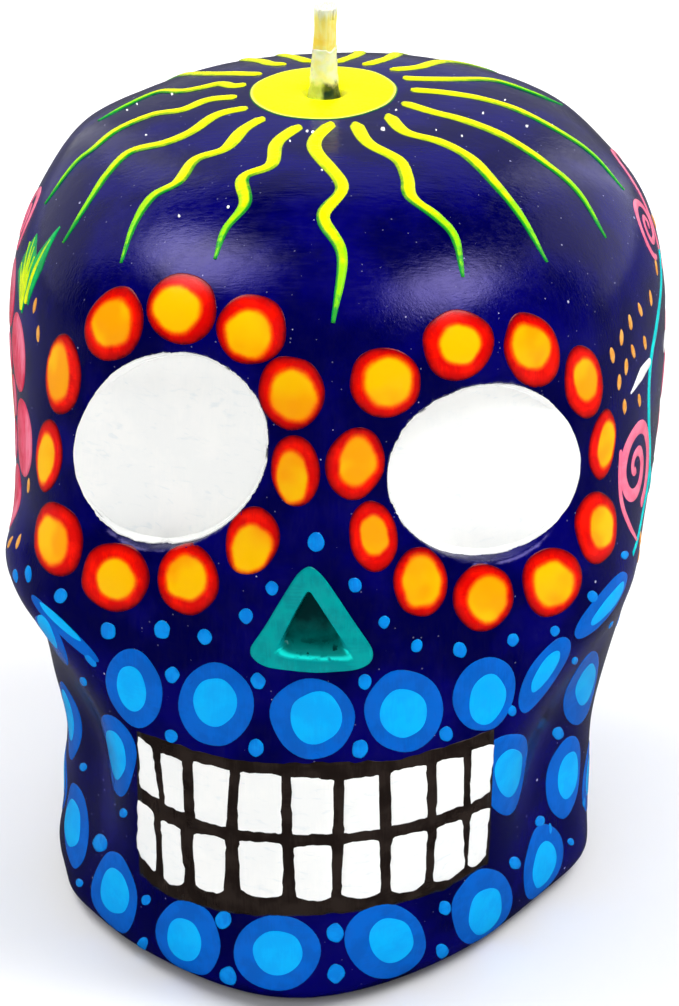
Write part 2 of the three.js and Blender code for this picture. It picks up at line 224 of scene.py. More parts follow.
def makeSpeckGroup():  # dust and pinholes: few, tiny and of mixed size
    nodes, given, mask = newGroup("tinySpecks", ("Scale", "Size"), "Mask")
    cells = nodes.add("TexVoronoi", {"Vector": given["Place"], "Scale": given["Scale"]}).outputs
    lot = nodes.add("SeparateColor", {0: cells["Color"]}).outputs[0]
    size = nodes.times(given["Size"], nodes.fade(lot, 0.55, 1.0))
    nodes.feed(mask, nodes.calc("LESS_THAN", cells["Distance"], size))
    return nodes.tree


brushGroup = makeBrushGroup()
speckGroup = makeSpeckGroup()

varnish = {
    "uneven": (0.13, 0.25),  # roughness between and on the strokes
    "specular": 0.3,
    "whiteness": 0.45,  # how white the gloss of a paint is; the rest has its colour
    "relief": 0.01 * mm,
    "strokesPerMetre": 2300,
}


class Finish(Nodes):  # a material under way: the sockets of its shader, and its colour so far
    def __init__(self, name, sockets=None):
        self.material = bpy.data.materials.new(name)
        self.material.use_nodes = True
        super().__init__(self.material.node_tree)
        self.place = self.add("TexCoord").outputs["Object"]
        self.shader = self.tree.nodes["Principled BSDF"].inputs
        self.give(sockets or {})

    def give(self, sockets):
        for name, value in sockets.items():
            self.feed(self.shader[name], value)

    def emboss(self, height, depth):
        bump = self.add("Bump", {"Height": height, "Distance": depth, "Strength": 1.0})
        self.give({"Normal": bump.outputs[0]})

    def tag(self, name):  # a number that the mesh carries
        return self.add("Attribute", attribute_name=name).outputs["Fac"]

    def axis(self, name):  # X, Y or Z of the place
        return self.add("SeparateXYZ", {0: self.place}).outputs[name]

    def brush(self, level=0.0):
        sockets = {"Place": self.place, "Scale": varnish["strokesPerMetre"], "Level": level}
        return self.use(brushGroup, sockets)

    def over(self, share, shade):  # lays a further colour over what is there
        self.colour = self.mix(share, self.colour, shade)

    def done(self):
        self.give({"Base Color": self.colour})
        return self.material


class Paint(Finish):  # one pigment in two shades, with the marks of a small brush
    def __init__(self, name, light, dark, cloudScale=260, relief=varnish["relief"], gloss=1.0):
        white = varnish["whiteness"]
        tint = [white + (1 - white) * part / max(light[:3]) for part in light[:3]]
        super().__init__(name, {
            "Specular IOR Level": varnish["specular"] * gloss,
            "Specular Tint": (*tint, 1),
        })
        brush = self.brush()
        tone = self.plus(self.times(brush, 0.35), self.grain(cloudScale), 0.65)
        self.colour = self.mix(self.fade(tone, 0.46, 0.64), light, dark)
        smooth, rough = (value / gloss ** 0.3 for value in varnish["uneven"])
        self.give({"Roughness": self.fade(brush, 0.45, 0.85, smooth, rough)})
        self.emboss(brush, relief)


def plainPaint(name, light, dark, cloudScale, *layers):
    # a layer over the two shades: the tag that it follows, low, high, start, end and its shade
    paint = Paint(name, ink(*light), ink(*dark), cloudScale)
    for tag, low, high, start, end, shade in layers:
        paint.over(paint.fade(paint.tag(tag), low, high, start, end), ink(*shade))
    return paint.done()


# Wax skull: the casting, remeshed finely, softened away from its rims and made a little uneven

skull = {
    "voxel": 0.77 * mm,
    "passes": (3, 8, 30),  # smoothing at the rims, near them and elsewhere
    "rimZones": (1.1 * mm, 2.6 * mm),
    "noseReach": 7.5 * mm,  # within it the nose hollow keeps its rim
    "pitReach": 3.6 * mm,  # and the pit at the wick
    "pitDepth": 6 * mm,
    "unevenness": 0.11 * mm,
    "lumpsPerMetre": 85,
    "grit": 0.02 * mm,
    "gritPerMetre": 420,
    "lumpsFrom": 4 * mm,  # height where the unevenness is full
    "flatBase": 0.4 * mm,
    "baseRound": 1.9 * mm,
    "roundFrom": 14 * mm,  # the base is rounded from here out, and fully after as much as roundOver
    "roundOver": 16 * mm,
    "paintRoom": 0.2 * mm,  # kept free inside the CAD's box for the paint
    "seat": 0.3 * mm,  # the gap between a CAD skin and the wax
    # places of the photograph's outline, how far the wax is drawn there to the right and up, and the reach
    "pulls": (
        (85, 122, -4.5, 5.5, 52), (603, 142, -2.5, -3.5, 45), (3, 548, -5, 0, 26), (48, 684, -8, 0, 44),
        (62, 795, 4.5, 0, 28), (588, 862, 12, 0, 42), (72, 896, -6, 0, 24),
    ),
    "pullFrom": 6 * mm,  # height where the pulls are full
    "inks": ((0, 0, 66), (3, 1, 96)),
    "tint": (0.42, 0.35, 1, 1),
    # cells in a metre, size and strength of the pale specks
    "specks": ((240, 0.05, 0.75), (560, 0.07, 0.6), (900, 0.11, 0.22)),
}


def eyeFrame(nodeName):  # the plane of an eye: its matrix, half sizes and the height of its paint
    points = np.array([vert.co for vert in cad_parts[nodeName].data.vertices])
    middle = points.mean(axis=0)
    _, axes = np.linalg.eigh(np.cov((points - middle).T))
    out, long = Vector(axes[:, 0]), Vector(axes[:, 2])
    if out.y > 0:
        out.negate()
    across = out.cross(long)
    local = (points - middle) @ np.array([long, across, out]).T
    matrix = Matrix((long, across, out)).transposed().to_4x4()
    matrix.translation = Vector(middle)
    half = np.abs(local).max(axis=0)
    return {
        "matrix": matrix,
        "half": Vector((half[0] + skull["seat"], half[1] + skull["seat"])),
        "floor": half[2],
    }


eyes = {side: eyeFrame(side + "_eye_enamel") for side in ("left", "right")}
noseLow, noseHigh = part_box("nose_enamel")
noseMiddle = (noseLow + noseHigh) / 2
tabLow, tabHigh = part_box("wick_tab")
wickFoot = Vector(((tabLow.x + tabHigh.x) / 2, (tabLow.y + tabHigh.y) / 2, 0))
globeMiddle = wickFoot + Vector((0, 0, 58 * mm))
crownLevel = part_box("wax_skull")[1].z


def rimDistance(point):
    found = 1.0
    if point.y < 0:
        for eye in eyes.values():
            local = eye["matrix"].inverted() @ point
            far = math.hypot(local.x / eye["half"].x, local.y / eye["half"].y)
            found = min(found, abs(far - 1) * (eye["half"].x + eye["half"].y) / 2)
        aside = math.hypot(point.x - noseMiddle.x, point.z - noseMiddle.z)
        found = min(found, max(0, aside - skull["noseReach"]))
    elif point.z > crownLevel - skull["pitDepth"]:
        found = min(found, max(0, (point - wickFoot).xy.length - skull["pitReach"]))
    return found


def remeshedSkull():
    bm = bmesh.new()
    bm.from_mesh(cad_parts["wax_skull"].data)
    bmesh.ops.remove_doubles(bm, verts=bm.verts, dist=1e-6)
    casting = linked("casting", asMesh(bm, "casting"))
    remesh = casting.modifiers.new("remesh", "REMESH")
    remesh.mode = "VOXEL"
    remesh.voxel_size = skull["voxel"]
    view = bpy.context.evaluated_depsgraph_get()
    fine = bpy.data.meshes.new_from_object(casting.evaluated_get(view))
    bpy.data.objects.remove(casting)
    return fine


def pulled(point):  # a point of the wax, drawn a little toward the outline in the photograph
    away = point - cameraPoint
    pixel = (cameraPoint - point).dot(photoBack) / focalPixels
    x = photo["width"] / 2 + away.dot(photoRight) / pixel
    y = photo["height"] / 2 - away.dot(photoUp) / pixel
    lift = min(1, point.z / skull["pullFrom"])
    moved = point.copy()
    for toX, toY, right, up, reach in skull["pulls"]:
        share = math.exp(-((x - toX) ** 2 + (y - toY) ** 2) / reach ** 2)
        moved += (photoRight * right + photoUp * up * lift) * share * pixel
    for axis in (0, 1):
        low, high = cadBox[0][axis] + skull["paintRoom"], cadBox[1][axis] - skull["paintRoom"]
        moved[axis] = clamped(moved[axis], low, high)
    moved.z = point.z + (moved.z - point.z) * lift
    return moved


def roundedBase(point):  # the edge of the base, rounded as far as the radius reaches up
    radius = skull["baseRound"]
    if point.z >= radius:
        return point
    flat = point.xy
    share = clamped((flat.length - skull["roundFrom"]) / skull["roundOver"])
    inset = radius * (1 - math.sqrt(1 - (1 - max(0, point.z) / radius) ** 2)) * share
    return Vector((*(flat * (1 - inset / max(flat.length, 1 * mm))), point.z))


def softenedSkull():
    bm = bmesh.new()
    bm.from_mesh(remeshedSkull())
    distances = [(vert, 0 if vert.co.z < skull["flatBase"] else rimDistance(vert.co)) for vert in bm.verts]
    axes = {"use_axis_x": True, "use_axis_y": True, "use_axis_z": True}
    for reach, passes in zip((-1, *skull["rimZones"]), skull["passes"]):
        zone = [vert for vert, distance in distances if distance > reach]
        for _ in range(passes):
            bmesh.ops.smooth_vert(bm, verts=zone, factor=0.5, **axes)
    bm.normal_update()
    for vert in bm.verts:
        lump = noise.noise(vert.co * skull["lumpsPerMetre"]) * skull["unevenness"]
        grit = noise.noise(vert.co * skull["gritPerMetre"]) * skull["grit"]
        vert.co += vert.normal * (lump + grit) * clamped(vert.co.z / skull["lumpsFrom"])
        vert.co = roundedBase(pulled(vert.co))
        vert.co.z = max(0, vert.co.z)
    bm.normal_update()
    return bm


skullMesh = softenedSkull()
skinTree = BVHTree.FromBMesh(skullMesh)
print("skull is cast,", len(skullMesh.faces), "faces")


# Places on the skin

def meetSkin(start, ray, reach, other):  # where the ray meets the skin, or the skin nearest the other point
    hit, skin, _, _ = skinTree.ray_cast(start, ray, reach)
    if hit is None:
        hit, skin, _, _ = skinTree.find_nearest(other)
    return hit, skin


def onSkin(point, normal, reach=9 * mm):
    return meetSkin(point + normal * reach, -normal, 2.5 * reach, point)


def atPixel(x, y):
    ray = pixelRay(x, y)
    return meetSkin(cameraPoint, ray, 2 * photo["distance"], cameraPoint + ray * photo["distance"])


def castInward(out):
    return meetSkin(globeMiddle + out * 150 * mm, -out, 1, globeMiddle)


def atGlobe(azimuth, elevation):
    return castInward(outward(azimuth, elevation))


def eastAndNorth(normal):
    east = Vector((0, 0, 1)).cross(normal).normalized()
    return east, normal.cross(east)


def pixelSpot(x, y, width, height, turn=0):  # an ellipse of the photograph, laid on the skin
    middle, normal = atPixel(x, y)
    ray = pixelRay(x, y)
    pixel = (cameraPoint - middle).dot(photoBack) / focalPixels
    slant = min(ray.dot(normal), -0.3)
    spin = Matrix.Rotation(math.radians(turn), 3, photoBack)

    def lean(axis, size):
        leant = axis - ray * (axis.dot(normal) / slant)
        return (leant - normal * leant.dot(normal)) * size * pixel / 2

    return middle, normal, lean(spin @ photoRight, width), lean(spin @ photoUp, height)


def globeSpot(azimuth, elevation, width, height, turn=0, aside=0, above=0):
    # an ellipse of real size, laid on the skin beside or above a direction
    middle, normal = atGlobe(azimuth, elevation)
    east, north = eastAndNorth(normal)
    if aside or above:
        middle, normal = onSkin(middle + east * aside + north * above, normal)
        east, north = eastAndNorth(normal)
    spin = Matrix.Rotation(math.radians(turn), 3, normal)
    return middle, normal, spin @ east * width / 2, spin @ north * height / 2


# Paint shapes, made flat at unit size and then laid on the skin

def spun(bm, profile, steps, size=1, closed=False):  # spins an outline of radius and level
    verts = [bm.verts.new((radius * size, 0, level * size)) for radius, level in profile]
    ends = verts[1:] + verts[:1] if closed else verts[1:]
    edges = [bm.edges.new(pair) for pair in zip(verts, ends)]
    full = {"cent": (0, 0, 0), "axis": (0, 0, 1), "angle": 2 * math.pi, "use_merge": True}
    bmesh.ops.spin(bm, geom=verts + edges, steps=steps, **full)


def spunBead(profile, steps, name):  # a round bead of paint from radius and rise
    bm = bmesh.new()
    spun(bm, profile, steps)
    bmesh.ops.remove_doubles(bm, verts=bm.verts, dist=1e-5)
    bmesh.ops.recalc_face_normals(bm, faces=bm.faces)
    return asMesh(bm, name)


def slab(along, across, name):  # a flat slab from -1 to 1, closed underneath
    bm = bmesh.new()
    bmesh.ops.create_grid(bm, x_segments=along, y_segments=across, size=1)
    upper = list(bm.verts)
    made = bmesh.ops.extrude_face_region(bm, geom=bm.faces[:] + bm.edges[:] + bm.verts[:])
    lower = [item for item in made["geom"] if isinstance(item, bmesh.types.BMVert)]
    bmesh.ops.translate(bm, vec=(0, 0, 1), verts=upper)
    bmesh.ops.translate(bm, vec=(0, 0, -1), verts=lower)
    bmesh.ops.recalc_face_normals(bm, faces=bm.faces)
    return asMesh(bm, name)


def growRing(bm, edges, ring):  # a further ring of a tube or dish, in the order of the last one
    grown = bmesh.ops.extrude_edge_only(bm, edges=edges)["geom"]
    fresh = {item for item in grown if isinstance(item, bmesh.types.BMVert)}
    edgeKind = bmesh.types.BMEdge
    further = [item for item in grown if isinstance(item, edgeKind) and fresh.issuperset(item.verts)]

    def above(vert):
        return next(e.other_vert(vert) for e in vert.link_edges if e.other_vert(vert) in fresh)

    return further, [above(vert) for vert in ring]


def tightened(value):  # brings evenly spaced rows closer to the sides
    return math.sin(value * math.pi / 2)


bigBead = spunBead(
    [(0, 1), (0.18, 1), (0.36, 0.99), (0.5, 0.97), (0.62, 0.94), (0.74, 0.9), (0.84, 0.84), (0.91, 0.74),
     (0.96, 0.56), (0.99, 0.28), (1, 0), (0.99, -1), (0, -1)], 40, "bigBead",
)
smallBead = spunBead([(0, 1), (0.45, 0.94), (0.8, 0.7), (1, 0), (0.97, -1), (0, -1)], 18, "smallBead")
tileSlab = slab(12, 12, "tileSlab")
strokeRows = 57
strokeSlab = slab(strokeRows - 1, 6, "strokeSlab")


def tagged(*tags):  # an empty mesh whose points carry numbers for the material
    bm = bmesh.new()
    return bm, {tag: bm.verts.layers.float.new(tag) for tag in tags}


def finishPiece(bm, name, material, replaces=()):
    mesh = asMesh(bm, name)
    mesh.shade_smooth()
    mesh.materials.append(material)
    piece = linked(name, mesh)
    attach(piece, "root")
    if replaces:
        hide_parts(*replaces)
    return piece


def layPaint(name, material, unit, places, rise, lift=0.0, tags=(), slot=None, replaces=()):
    # one shape of paint, laid at every place; a place gives point, normal and marks for u and v
    bm, layers = tagged(*tags)
    for place in places:
        first = len(bm.verts)
        bm.from_mesh(unit)
        bm.verts.ensure_lookup_table()
        for vert in bm.verts[first:]:
            u, v, level = vert.co
            point, normal, marks = place(u, v)
            height = level * marks.get("rise", 1) if level > 0 else level
            vert.co = point + normal * (lift + height * rise)
            for tag, layer in layers.items():
                vert[layer] = marks[tag]
    finishPiece(bm, name, material, replaces)


def beadPlace(spot, seed, wobble=0.05, core=None):
    middle, normal, right, up = spot

    def place(u, v):
        far = math.hypot(u, v)
        swell = 1 + wobble * 2 * ringWave(math.atan2(v, u), seed * 7.3, 1.2) * far
        hit, skin = onSkin(middle + (right * u + up * v) * swell, normal)
        marks = {"edge": far, "along": v}
        if core:  # its middle and half size on the bead's own unit circle
            across, upward = u - core[0], v - core[1]
            wave = ringWave(math.atan2(upward, across), seed * 3.1 + 50, 1.4)
            marks["core"] = math.hypot(across / core[2], upward / core[3]) / (1 + 0.12 * wave)
        return hit, skin, marks

    return place


def strokePlace(path, width, seed):  # path holds points and normals, one a row
    last = len(path) - 1
    length = sum((b[0] - a[0]).length for a, b in zip(path, path[1:]))
    sides = []
    for i in range(last + 1):
        ahead = path[min(i + 1, last)][0] - path[max(i - 1, 0)][0]
        sides.append(path[i][1].cross(ahead).normalized())
    facing = 1 if sum(side.y for side in sides) < 0 else -1

    def place(u, v):
        i = round((u + 1) / 2 * last)
        share = i / last
        across = tightened(v)
        wide = width(share) * (1 + 0.14 * ripple(share * length / (4 * mm), seed * 5.7, 0))
        cap = min(1, share * length / (wide / 2) + 0.1)  # the start is round
        wide *= math.sqrt(1 - (1 - cap) ** 2)
        hit, skin = onSkin(path[i][0] + sides[i] * across * wide / 2, path[i][1])
        rise = (1 - 0.9 * abs(across) ** 3) * min(1, wide / (1.2 * mm) + 0.1)
        return hit, skin, {"edge": abs(across), "side": across * facing, "along": share, "rise": rise}

    return place


def layStrokes(name, material, strokes, rise, unit=strokeSlab, lift=0.0):  # strokes: path and width of each
    places = [strokePlace(path, width, number + 1) for number, (path, width) in enumerate(strokes)]
    layPaint(name, material, unit, places, rise, lift, ("edge", "side", "along"))


def smoothCurve(points, count, closed=False):  # an even walk along a curve through the points
    spots = [Vector(p).to_3d() for p in points]
    if closed:
        spots = [spots[-1], *spots, spots[0], spots[1]]
    else:
        spots = [spots[0] * 2 - spots[1], *spots, spots[-1] * 2 - spots[-2]]
    fine = []
    for a, b, c, d in zip(spots, spots[1:], spots[2:], spots[3:]):
        for k in range(16):
            t = k / 16
            bend = (a * 2 - b * 5 + c * 4 - d) * t + (b * 3 - a - c * 3 + d) * t * t
            fine.append((b * 2 + (c - a + bend) * t) / 2)
    fine.append(spots[-2])
    steps = [0.0]
    for a, b in zip(fine, fine[1:]):
        steps.append(steps[-1] + (b - a).length)
    walk = []
    parts = count if closed else count - 1
    at = 0
    for k in range(count):
        want = steps[-1] * k / parts
        while at < len(steps) - 2 and steps[at + 1] < want:
            at += 1
        share = (want - steps[at]) / max(steps[at + 1] - steps[at], 1e-12)
        walk.append(fine[at].lerp(fine[at + 1], min(1, max(0, share))))
    return walk


def pixelPath(points):
    return [atPixel(p.x, p.y) for p in smoothCurve(points, strokeRows)]


def globePath(points, count=strokeRows, closed=False):
    walk = smoothCurve([outward(*point) for point in points], count, closed)
    return [castInward(out.normalized()) for out in walk]


def taper(start, middle, end, power=1.0):  # a brush width that goes from start over middle to end
    def width(share):
        if share < 0.5:
            return start + (middle - start) * share * 2
        return middle + (end - middle) * ((share - 0.5) * 2) ** power
    return width


# Paint of the casting

def makeWaxPaint():
    wax = Finish("deepBluePaint", {"Specular IOR Level": 0.4, "Specular Tint": skull["tint"]})
    height = wax.axis("Z")
    brush = wax.brush(wax.fade(height, 99 * mm, 108 * mm))  # level strokes on the crown
    light, dark = (ink(*shade) for shade in skull["inks"])
    wax.colour = wax.mix(wax.fade(wax.grain(70, 4), 0.4, 0.62), light, dark)
    for scale, size, strength in skull["specks"]:
        specks = wax.use(speckGroup, {"Place": wax.place, "Scale": scale, "Size": size})
        wax.over(wax.times(specks, strength), ink(190, 190, 225))
    bare = wax.fade(wax.plus(height, wax.grain(300, 4), 0.5 * mm), 0.3 * mm, 0.5 * mm, 1, 0)
    wax.over(bare, wax.mix(wax.grain(160), ink(214, 205, 184), ink(238, 232, 214)))
    wax.give({"Roughness": wax.fade(brush, 0.45, 0.85, 0.1, 0.24)})
    wax.emboss(brush, 0.045 * mm)
    return wax.done()


finishPiece(skullMesh, "waxSkull", makeWaxPaint(), ["wax_skull"])
print("skull is painted")


# Eyes: thick white paint on the floor and walls of each socket, just over its rim

eyePaint = {
    "steps": 144,
    "dishShares": (
        0.15, 0.3, 0.45, 0.58, 0.7, 0.8, 0.88, 0.93, 0.95, 0.962, 0.972, 0.98, 0.987, 0.993, 0.998, 1.003,
        1.008, 1.013, 1.018,
    ),
    "lipShares": (1.023, 1.028, 1.033),
    "sunkShare": 1.035,
    "skin": 0.22 * mm,
    "sunk": 0.2 * mm,
    "raggedness": 0.012,
    "thickness": 0.12 * mm,
    "shortBelow": {"left": 0.03, "right": 0.035},  # share that the paint stays within the lower edge
    # where the paint stops short of the rim: turn on the eye's own axes, width in degrees, depth
    "notches": {
        "left": ((60, 2.5, 0.03), (147, 3, 0.045), (205, 2, 0.03)),
        "right": ((40, 3, 0.02), (-30, 2.5, 0.03)),
    },
}


def eyeDish(side, eye):
    bm = bmesh.new()
    matrix, half, floor = eye["matrix"], eye["half"], eye["floor"]
    out = (matrix.to_3x3() @ Vector((0, 0, 1))).normalized()
    inward = matrix.inverted()
    down = inward.to_3x3() @ Vector((0, 0, -1))
    downward = math.atan2(down.y, down.x)
    steps = eyePaint["steps"]

    def ragged(turn):
        short = sum(
            depth * math.exp(-((((math.degrees(turn) - at + 180) % 360) - 180) / wide) ** 2)
            for at, wide, depth in eyePaint["notches"][side]
        )
        waves = ringWave(turn, half.x * 900, 2.2) + 0.5 * ringWave(turn, half.x * 900, 9)
        return waves * eyePaint["raggedness"] - short

    def spot(turn, share, kind):
        below = max(0, math.cos(turn - downward)) ** 2.5 * clamped((share - 0.5) / 0.45)
        reach = share * (1 - eyePaint["shortBelow"][side] * below) + (ragged(turn) if kind == "lip" else 0)
        flat = Vector((math.cos(turn) * half.x * reach, math.sin(turn) * half.y * reach, 0))
        hit, skin = onSkin(matrix @ flat, out, 14 * mm)
        if kind == "sunk":
            return hit - skin * eyePaint["sunk"]
        over = hit + skin * eyePaint["skin"]
        low = floor + 0.05 * mm * noise.noise(flat * 260)
        return matrix @ (flat + Vector((0, 0, low))) if (inward @ over).z < low else over

    rings = [(share, "dish") for share in eyePaint["dishShares"]]
    rings += [(share, "lip") for share in eyePaint["lipShares"]]
    rings += [(eyePaint["sunkShare"], "sunk")]
    made = bmesh.ops.create_circle(bm, cap_ends=True, cap_tris=True, segments=steps, radius=1)
    ring = [vert for vert in made["verts"] if vert.co.length > 0.5]
    ring.sort(key=lambda vert: math.atan2(vert.co.y, vert.co.x) % (2 * math.pi))
    for vert in made["verts"]:
        if vert not in ring:
            vert.co = spot(0, 0, "dish")
    edges = [edge for edge in bm.edges if edge.is_boundary]
    for number, (share, kind) in enumerate(rings):
        if number:
            edges, ring = growRing(bm, edges, ring)
        for k, vert in enumerate(ring):
            vert.co = spot(2 * math.pi * k / steps, share, kind)
    bmesh.ops.recalc_face_normals(bm, faces=bm.faces)
    return bm


def makeWhitePaint():
    paint = Paint("thickWhitePaint", ink(254, 254, 251), ink(250, 251, 249), 120, relief=0.012 * mm)
    smears = paint.grain(360, 5, (1, 1, 3), warp=1.2)
    paint.over(paint.fade(smears, 0.56, 0.76, 0, 0.32), ink(216, 228, 235))
    return paint.done()


whitePaint = makeWhitePaint()
for side, eye in eyes.items():
    bm = eyeDish(side, eye)
    dish = finishPiece(bm, side + "EyePaint", whitePaint, [side + "_eye_enamel"])
    wall = dish.modifiers.new("thickness", "SOLIDIFY")
    wall.thickness = eyePaint["thickness"]
    wall.offset = -1
print("eyes are painted")


# Nose: turquoise paint round and inside the triangular hollow, with painted shade deep in it and a painted
# highlight on its lower edge

nose = {
    "outer": (
        (308.4, 566.5), (316, 569.5), (326, 580), (338, 597.5), (353, 620), (365, 637.5), (371.3, 647.3),
        (373, 654), (372, 660), (367, 665.3), (355, 669.6), (335, 671.6), (316.5, 672.5), (293, 670.8),
        (271, 667.8), (262, 665), (255.5, 661), (251, 655.5), (250.3, 650.5), (252, 645), (263.2, 628.6),
        (280, 601), (292, 582), (299, 572.5),
    ),
    "rim": (
        (309.4, 592), (313, 596), (330, 622), (351, 655), (350, 659), (343, 660), (316, 659.5), (290, 657),
        (279, 653), (277.5, 649), (290, 622), (305, 595),
    ),
    "steps": 120,
    "skin": 0.12 * mm,  # the least paint over the wax
    "proud": 0.32 * mm,
    "edgeDepth": 0.35 * mm,
    # across the paint: share of the way from the outline to the rim, and share of the rise
    "roll": ((0, 0), (0.05, 0.7), (0.14, 0.95), (0.4, 1), (0.7, 1), (0.88, 0.9), (0.96, 0.6), (1, 0)),
    "depth": 4.4 * mm,
    "floorShare": 0.7,
    "wallShares": (0.12, 0.35, 0.6, 0.85, 0.96),
    "floorShares": (0.94, 0.85, 0.72, 0.58, 0.44, 0.3, 0.17, 0.06),
    "ledgeLight": {7: 0.3, 8: 0.8, 9: 1, 10: 0.8, 11: 0.1},  # painted highlight on the lower edge, ring by ring
    "ledgeReach": 1.3 * mm,
    "shadeReach": 4.5 * mm,
}


def fitFace(spots):  # the gentle curve of the face across the hollow, from points around it
    points = np.array([atPixel(x, y)[0] for x, y in spots])
    x, z = points[:, 0] - noseMiddle.x, points[:, 2] - noseMiddle.z
    terms = np.stack([np.ones_like(x), x, z, x * x, x * z, z * z], axis=1)
    shape, *_ = np.linalg.lstsq(terms, points[:, 1], rcond=None)

    def depth(x, z):
        x, z = x - noseMiddle.x, z - noseMiddle.z
        return float(shape @ np.array([1, x, z, x * x, x * z, z * z]))

    return depth


def nosePaint():
    bm, layers = tagged("depth", "low", "ledgeLight")
    outer = smoothCurve(nose["outer"], nose["steps"], closed=True)
    rim = smoothCurve(nose["rim"], nose["steps"], closed=True)
    middle = sum(outer, Vector()) / len(outer)
    around = [middle.lerp(p, share) for p in outer for share in (0.93, 1.0, 1.12, 1.25)]
    faceDepth = fitFace([(p.x, p.y) for p in around])

    def onFace(p):
        ray = pixelRay(p.x, p.y)
        reach = (noseMiddle.y - cameraPoint.y) / ray.y
        for _ in range(5):
            point = cameraPoint + ray * reach
            reach += (faceDepth(point.x, point.z) - point.y) / ray.y
        return cameraPoint + ray * reach

    outerPoints = [onFace(p) for p in outer]
    rimPoints = [onFace(p) for p in rim]
    heart = sum(rimPoints, Vector()) / len(rimPoints)
    step = 1 * mm
    slopeX = (faceDepth(heart.x + step, heart.z) - faceDepth(heart.x - step, heart.z)) / (2 * step)
    slopeZ = (faceDepth(heart.x, heart.z + step) - faceDepth(heart.x, heart.z - step)) / (2 * step)
    out = Vector((slopeX, -1, slopeZ)).normalized()
    proud, depth, floor = nose["proud"], nose["depth"], nose["floorShare"]
    # each ring: share of the way from the outline to the rim, share of the size, height
    rings = [(0, 1, -nose["edgeDepth"])] + [(across, 1, rise * proud) for across, rise in nose["roll"]]
    rings += [(1, 1 + (floor - 1) * share, -depth * share) for share in nose["wallShares"]]
    rings += [(1, floor * share, -depth) for share in nose["floorShares"]]
    ring = bmesh.ops.create_circle(bm, segments=nose["steps"], radius=1)["verts"]
    edges = list(bm.edges)
    bottom = min(point.z for point in rimPoints) + nose["ledgeReach"]
    for number, (across, size, height) in enumerate(rings):
        inner = number > 1
        if number:
            edges, ring = growRing(bm, edges, ring)
        for a, b, vert in zip(outerPoints, rimPoints, ring):
            point = a.lerp(b, across)
            point = heart + (point - heart) * size
            wave = 0.05 * mm * noise.noise(point * 700)
            point += out * (height + (wave if inner else 0))
            if inner:
                hit, _ = onSkin(point, out)
                point += out * max(0, (hit - point).dot(out) + nose["skin"])
            vert.co = point
            # the depth and low tags drive the painted shade in the hollow; the last tag is the painted
            # highlight on its lower edge
            vert[layers["depth"]] = max(0, -height / depth) if inner else 0
            vert[layers["low"]] = (heart.z - point.z) / nose["shadeReach"] * 0.5 + 0.5
            vert[layers["ledgeLight"]] = nose["ledgeLight"].get(number, 0) * (b.z < bottom)
    bmesh.ops.contextual_create(bm, geom=edges)
    bmesh.ops.recalc_face_normals(bm, faces=bm.faces)
    return bm


def makeTurquoisePaint():
    paint = Paint("turquoisePaint", ink(0, 160, 160), ink(0, 142, 146), 300)
    # painted shade: the paint in the hollow goes darker with depth and toward its top, with dark blots in its
    # deepest lower part
    deep = paint.plus(paint.tag("depth"), paint.grain(700, 4), 0.5)
    low = paint.tag("low")
    wander = paint.plus(low, paint.grain(500, 4), 0.5)
    shade = paint.mix(paint.fade(wander, 0.6, 1.05), ink(0, 34, 36), ink(0, 124, 118))
    paint.over(paint.fade(deep, 0.45, 0.85, 0, 0.95), shade)
    blots = paint.times(paint.fade(paint.grain(900, 4), 0.56, 0.64), paint.fade(low, 0.6, 0.8))
    paint.over(paint.times(blots, paint.fade(deep, 0.8, 1.0)), ink(0, 16, 18))
    # painted highlight: the lower edge of the hollow is lit bright turquoise
    paintedLedgeHighlight = paint.times(paint.tag("ledgeLight"), paint.fade(paint.grain(700, 4), 0.36, 0.5))
    paint.over(paintedLedgeHighlight, ink(10, 240, 228))
    return paint.done()


finishPiece(nosePaint(), "nosePaint", makeTurquoisePaint(), ["nose_enamel"])
print("nose is painted")


# Teeth: two rows of nine white tiles on a black band

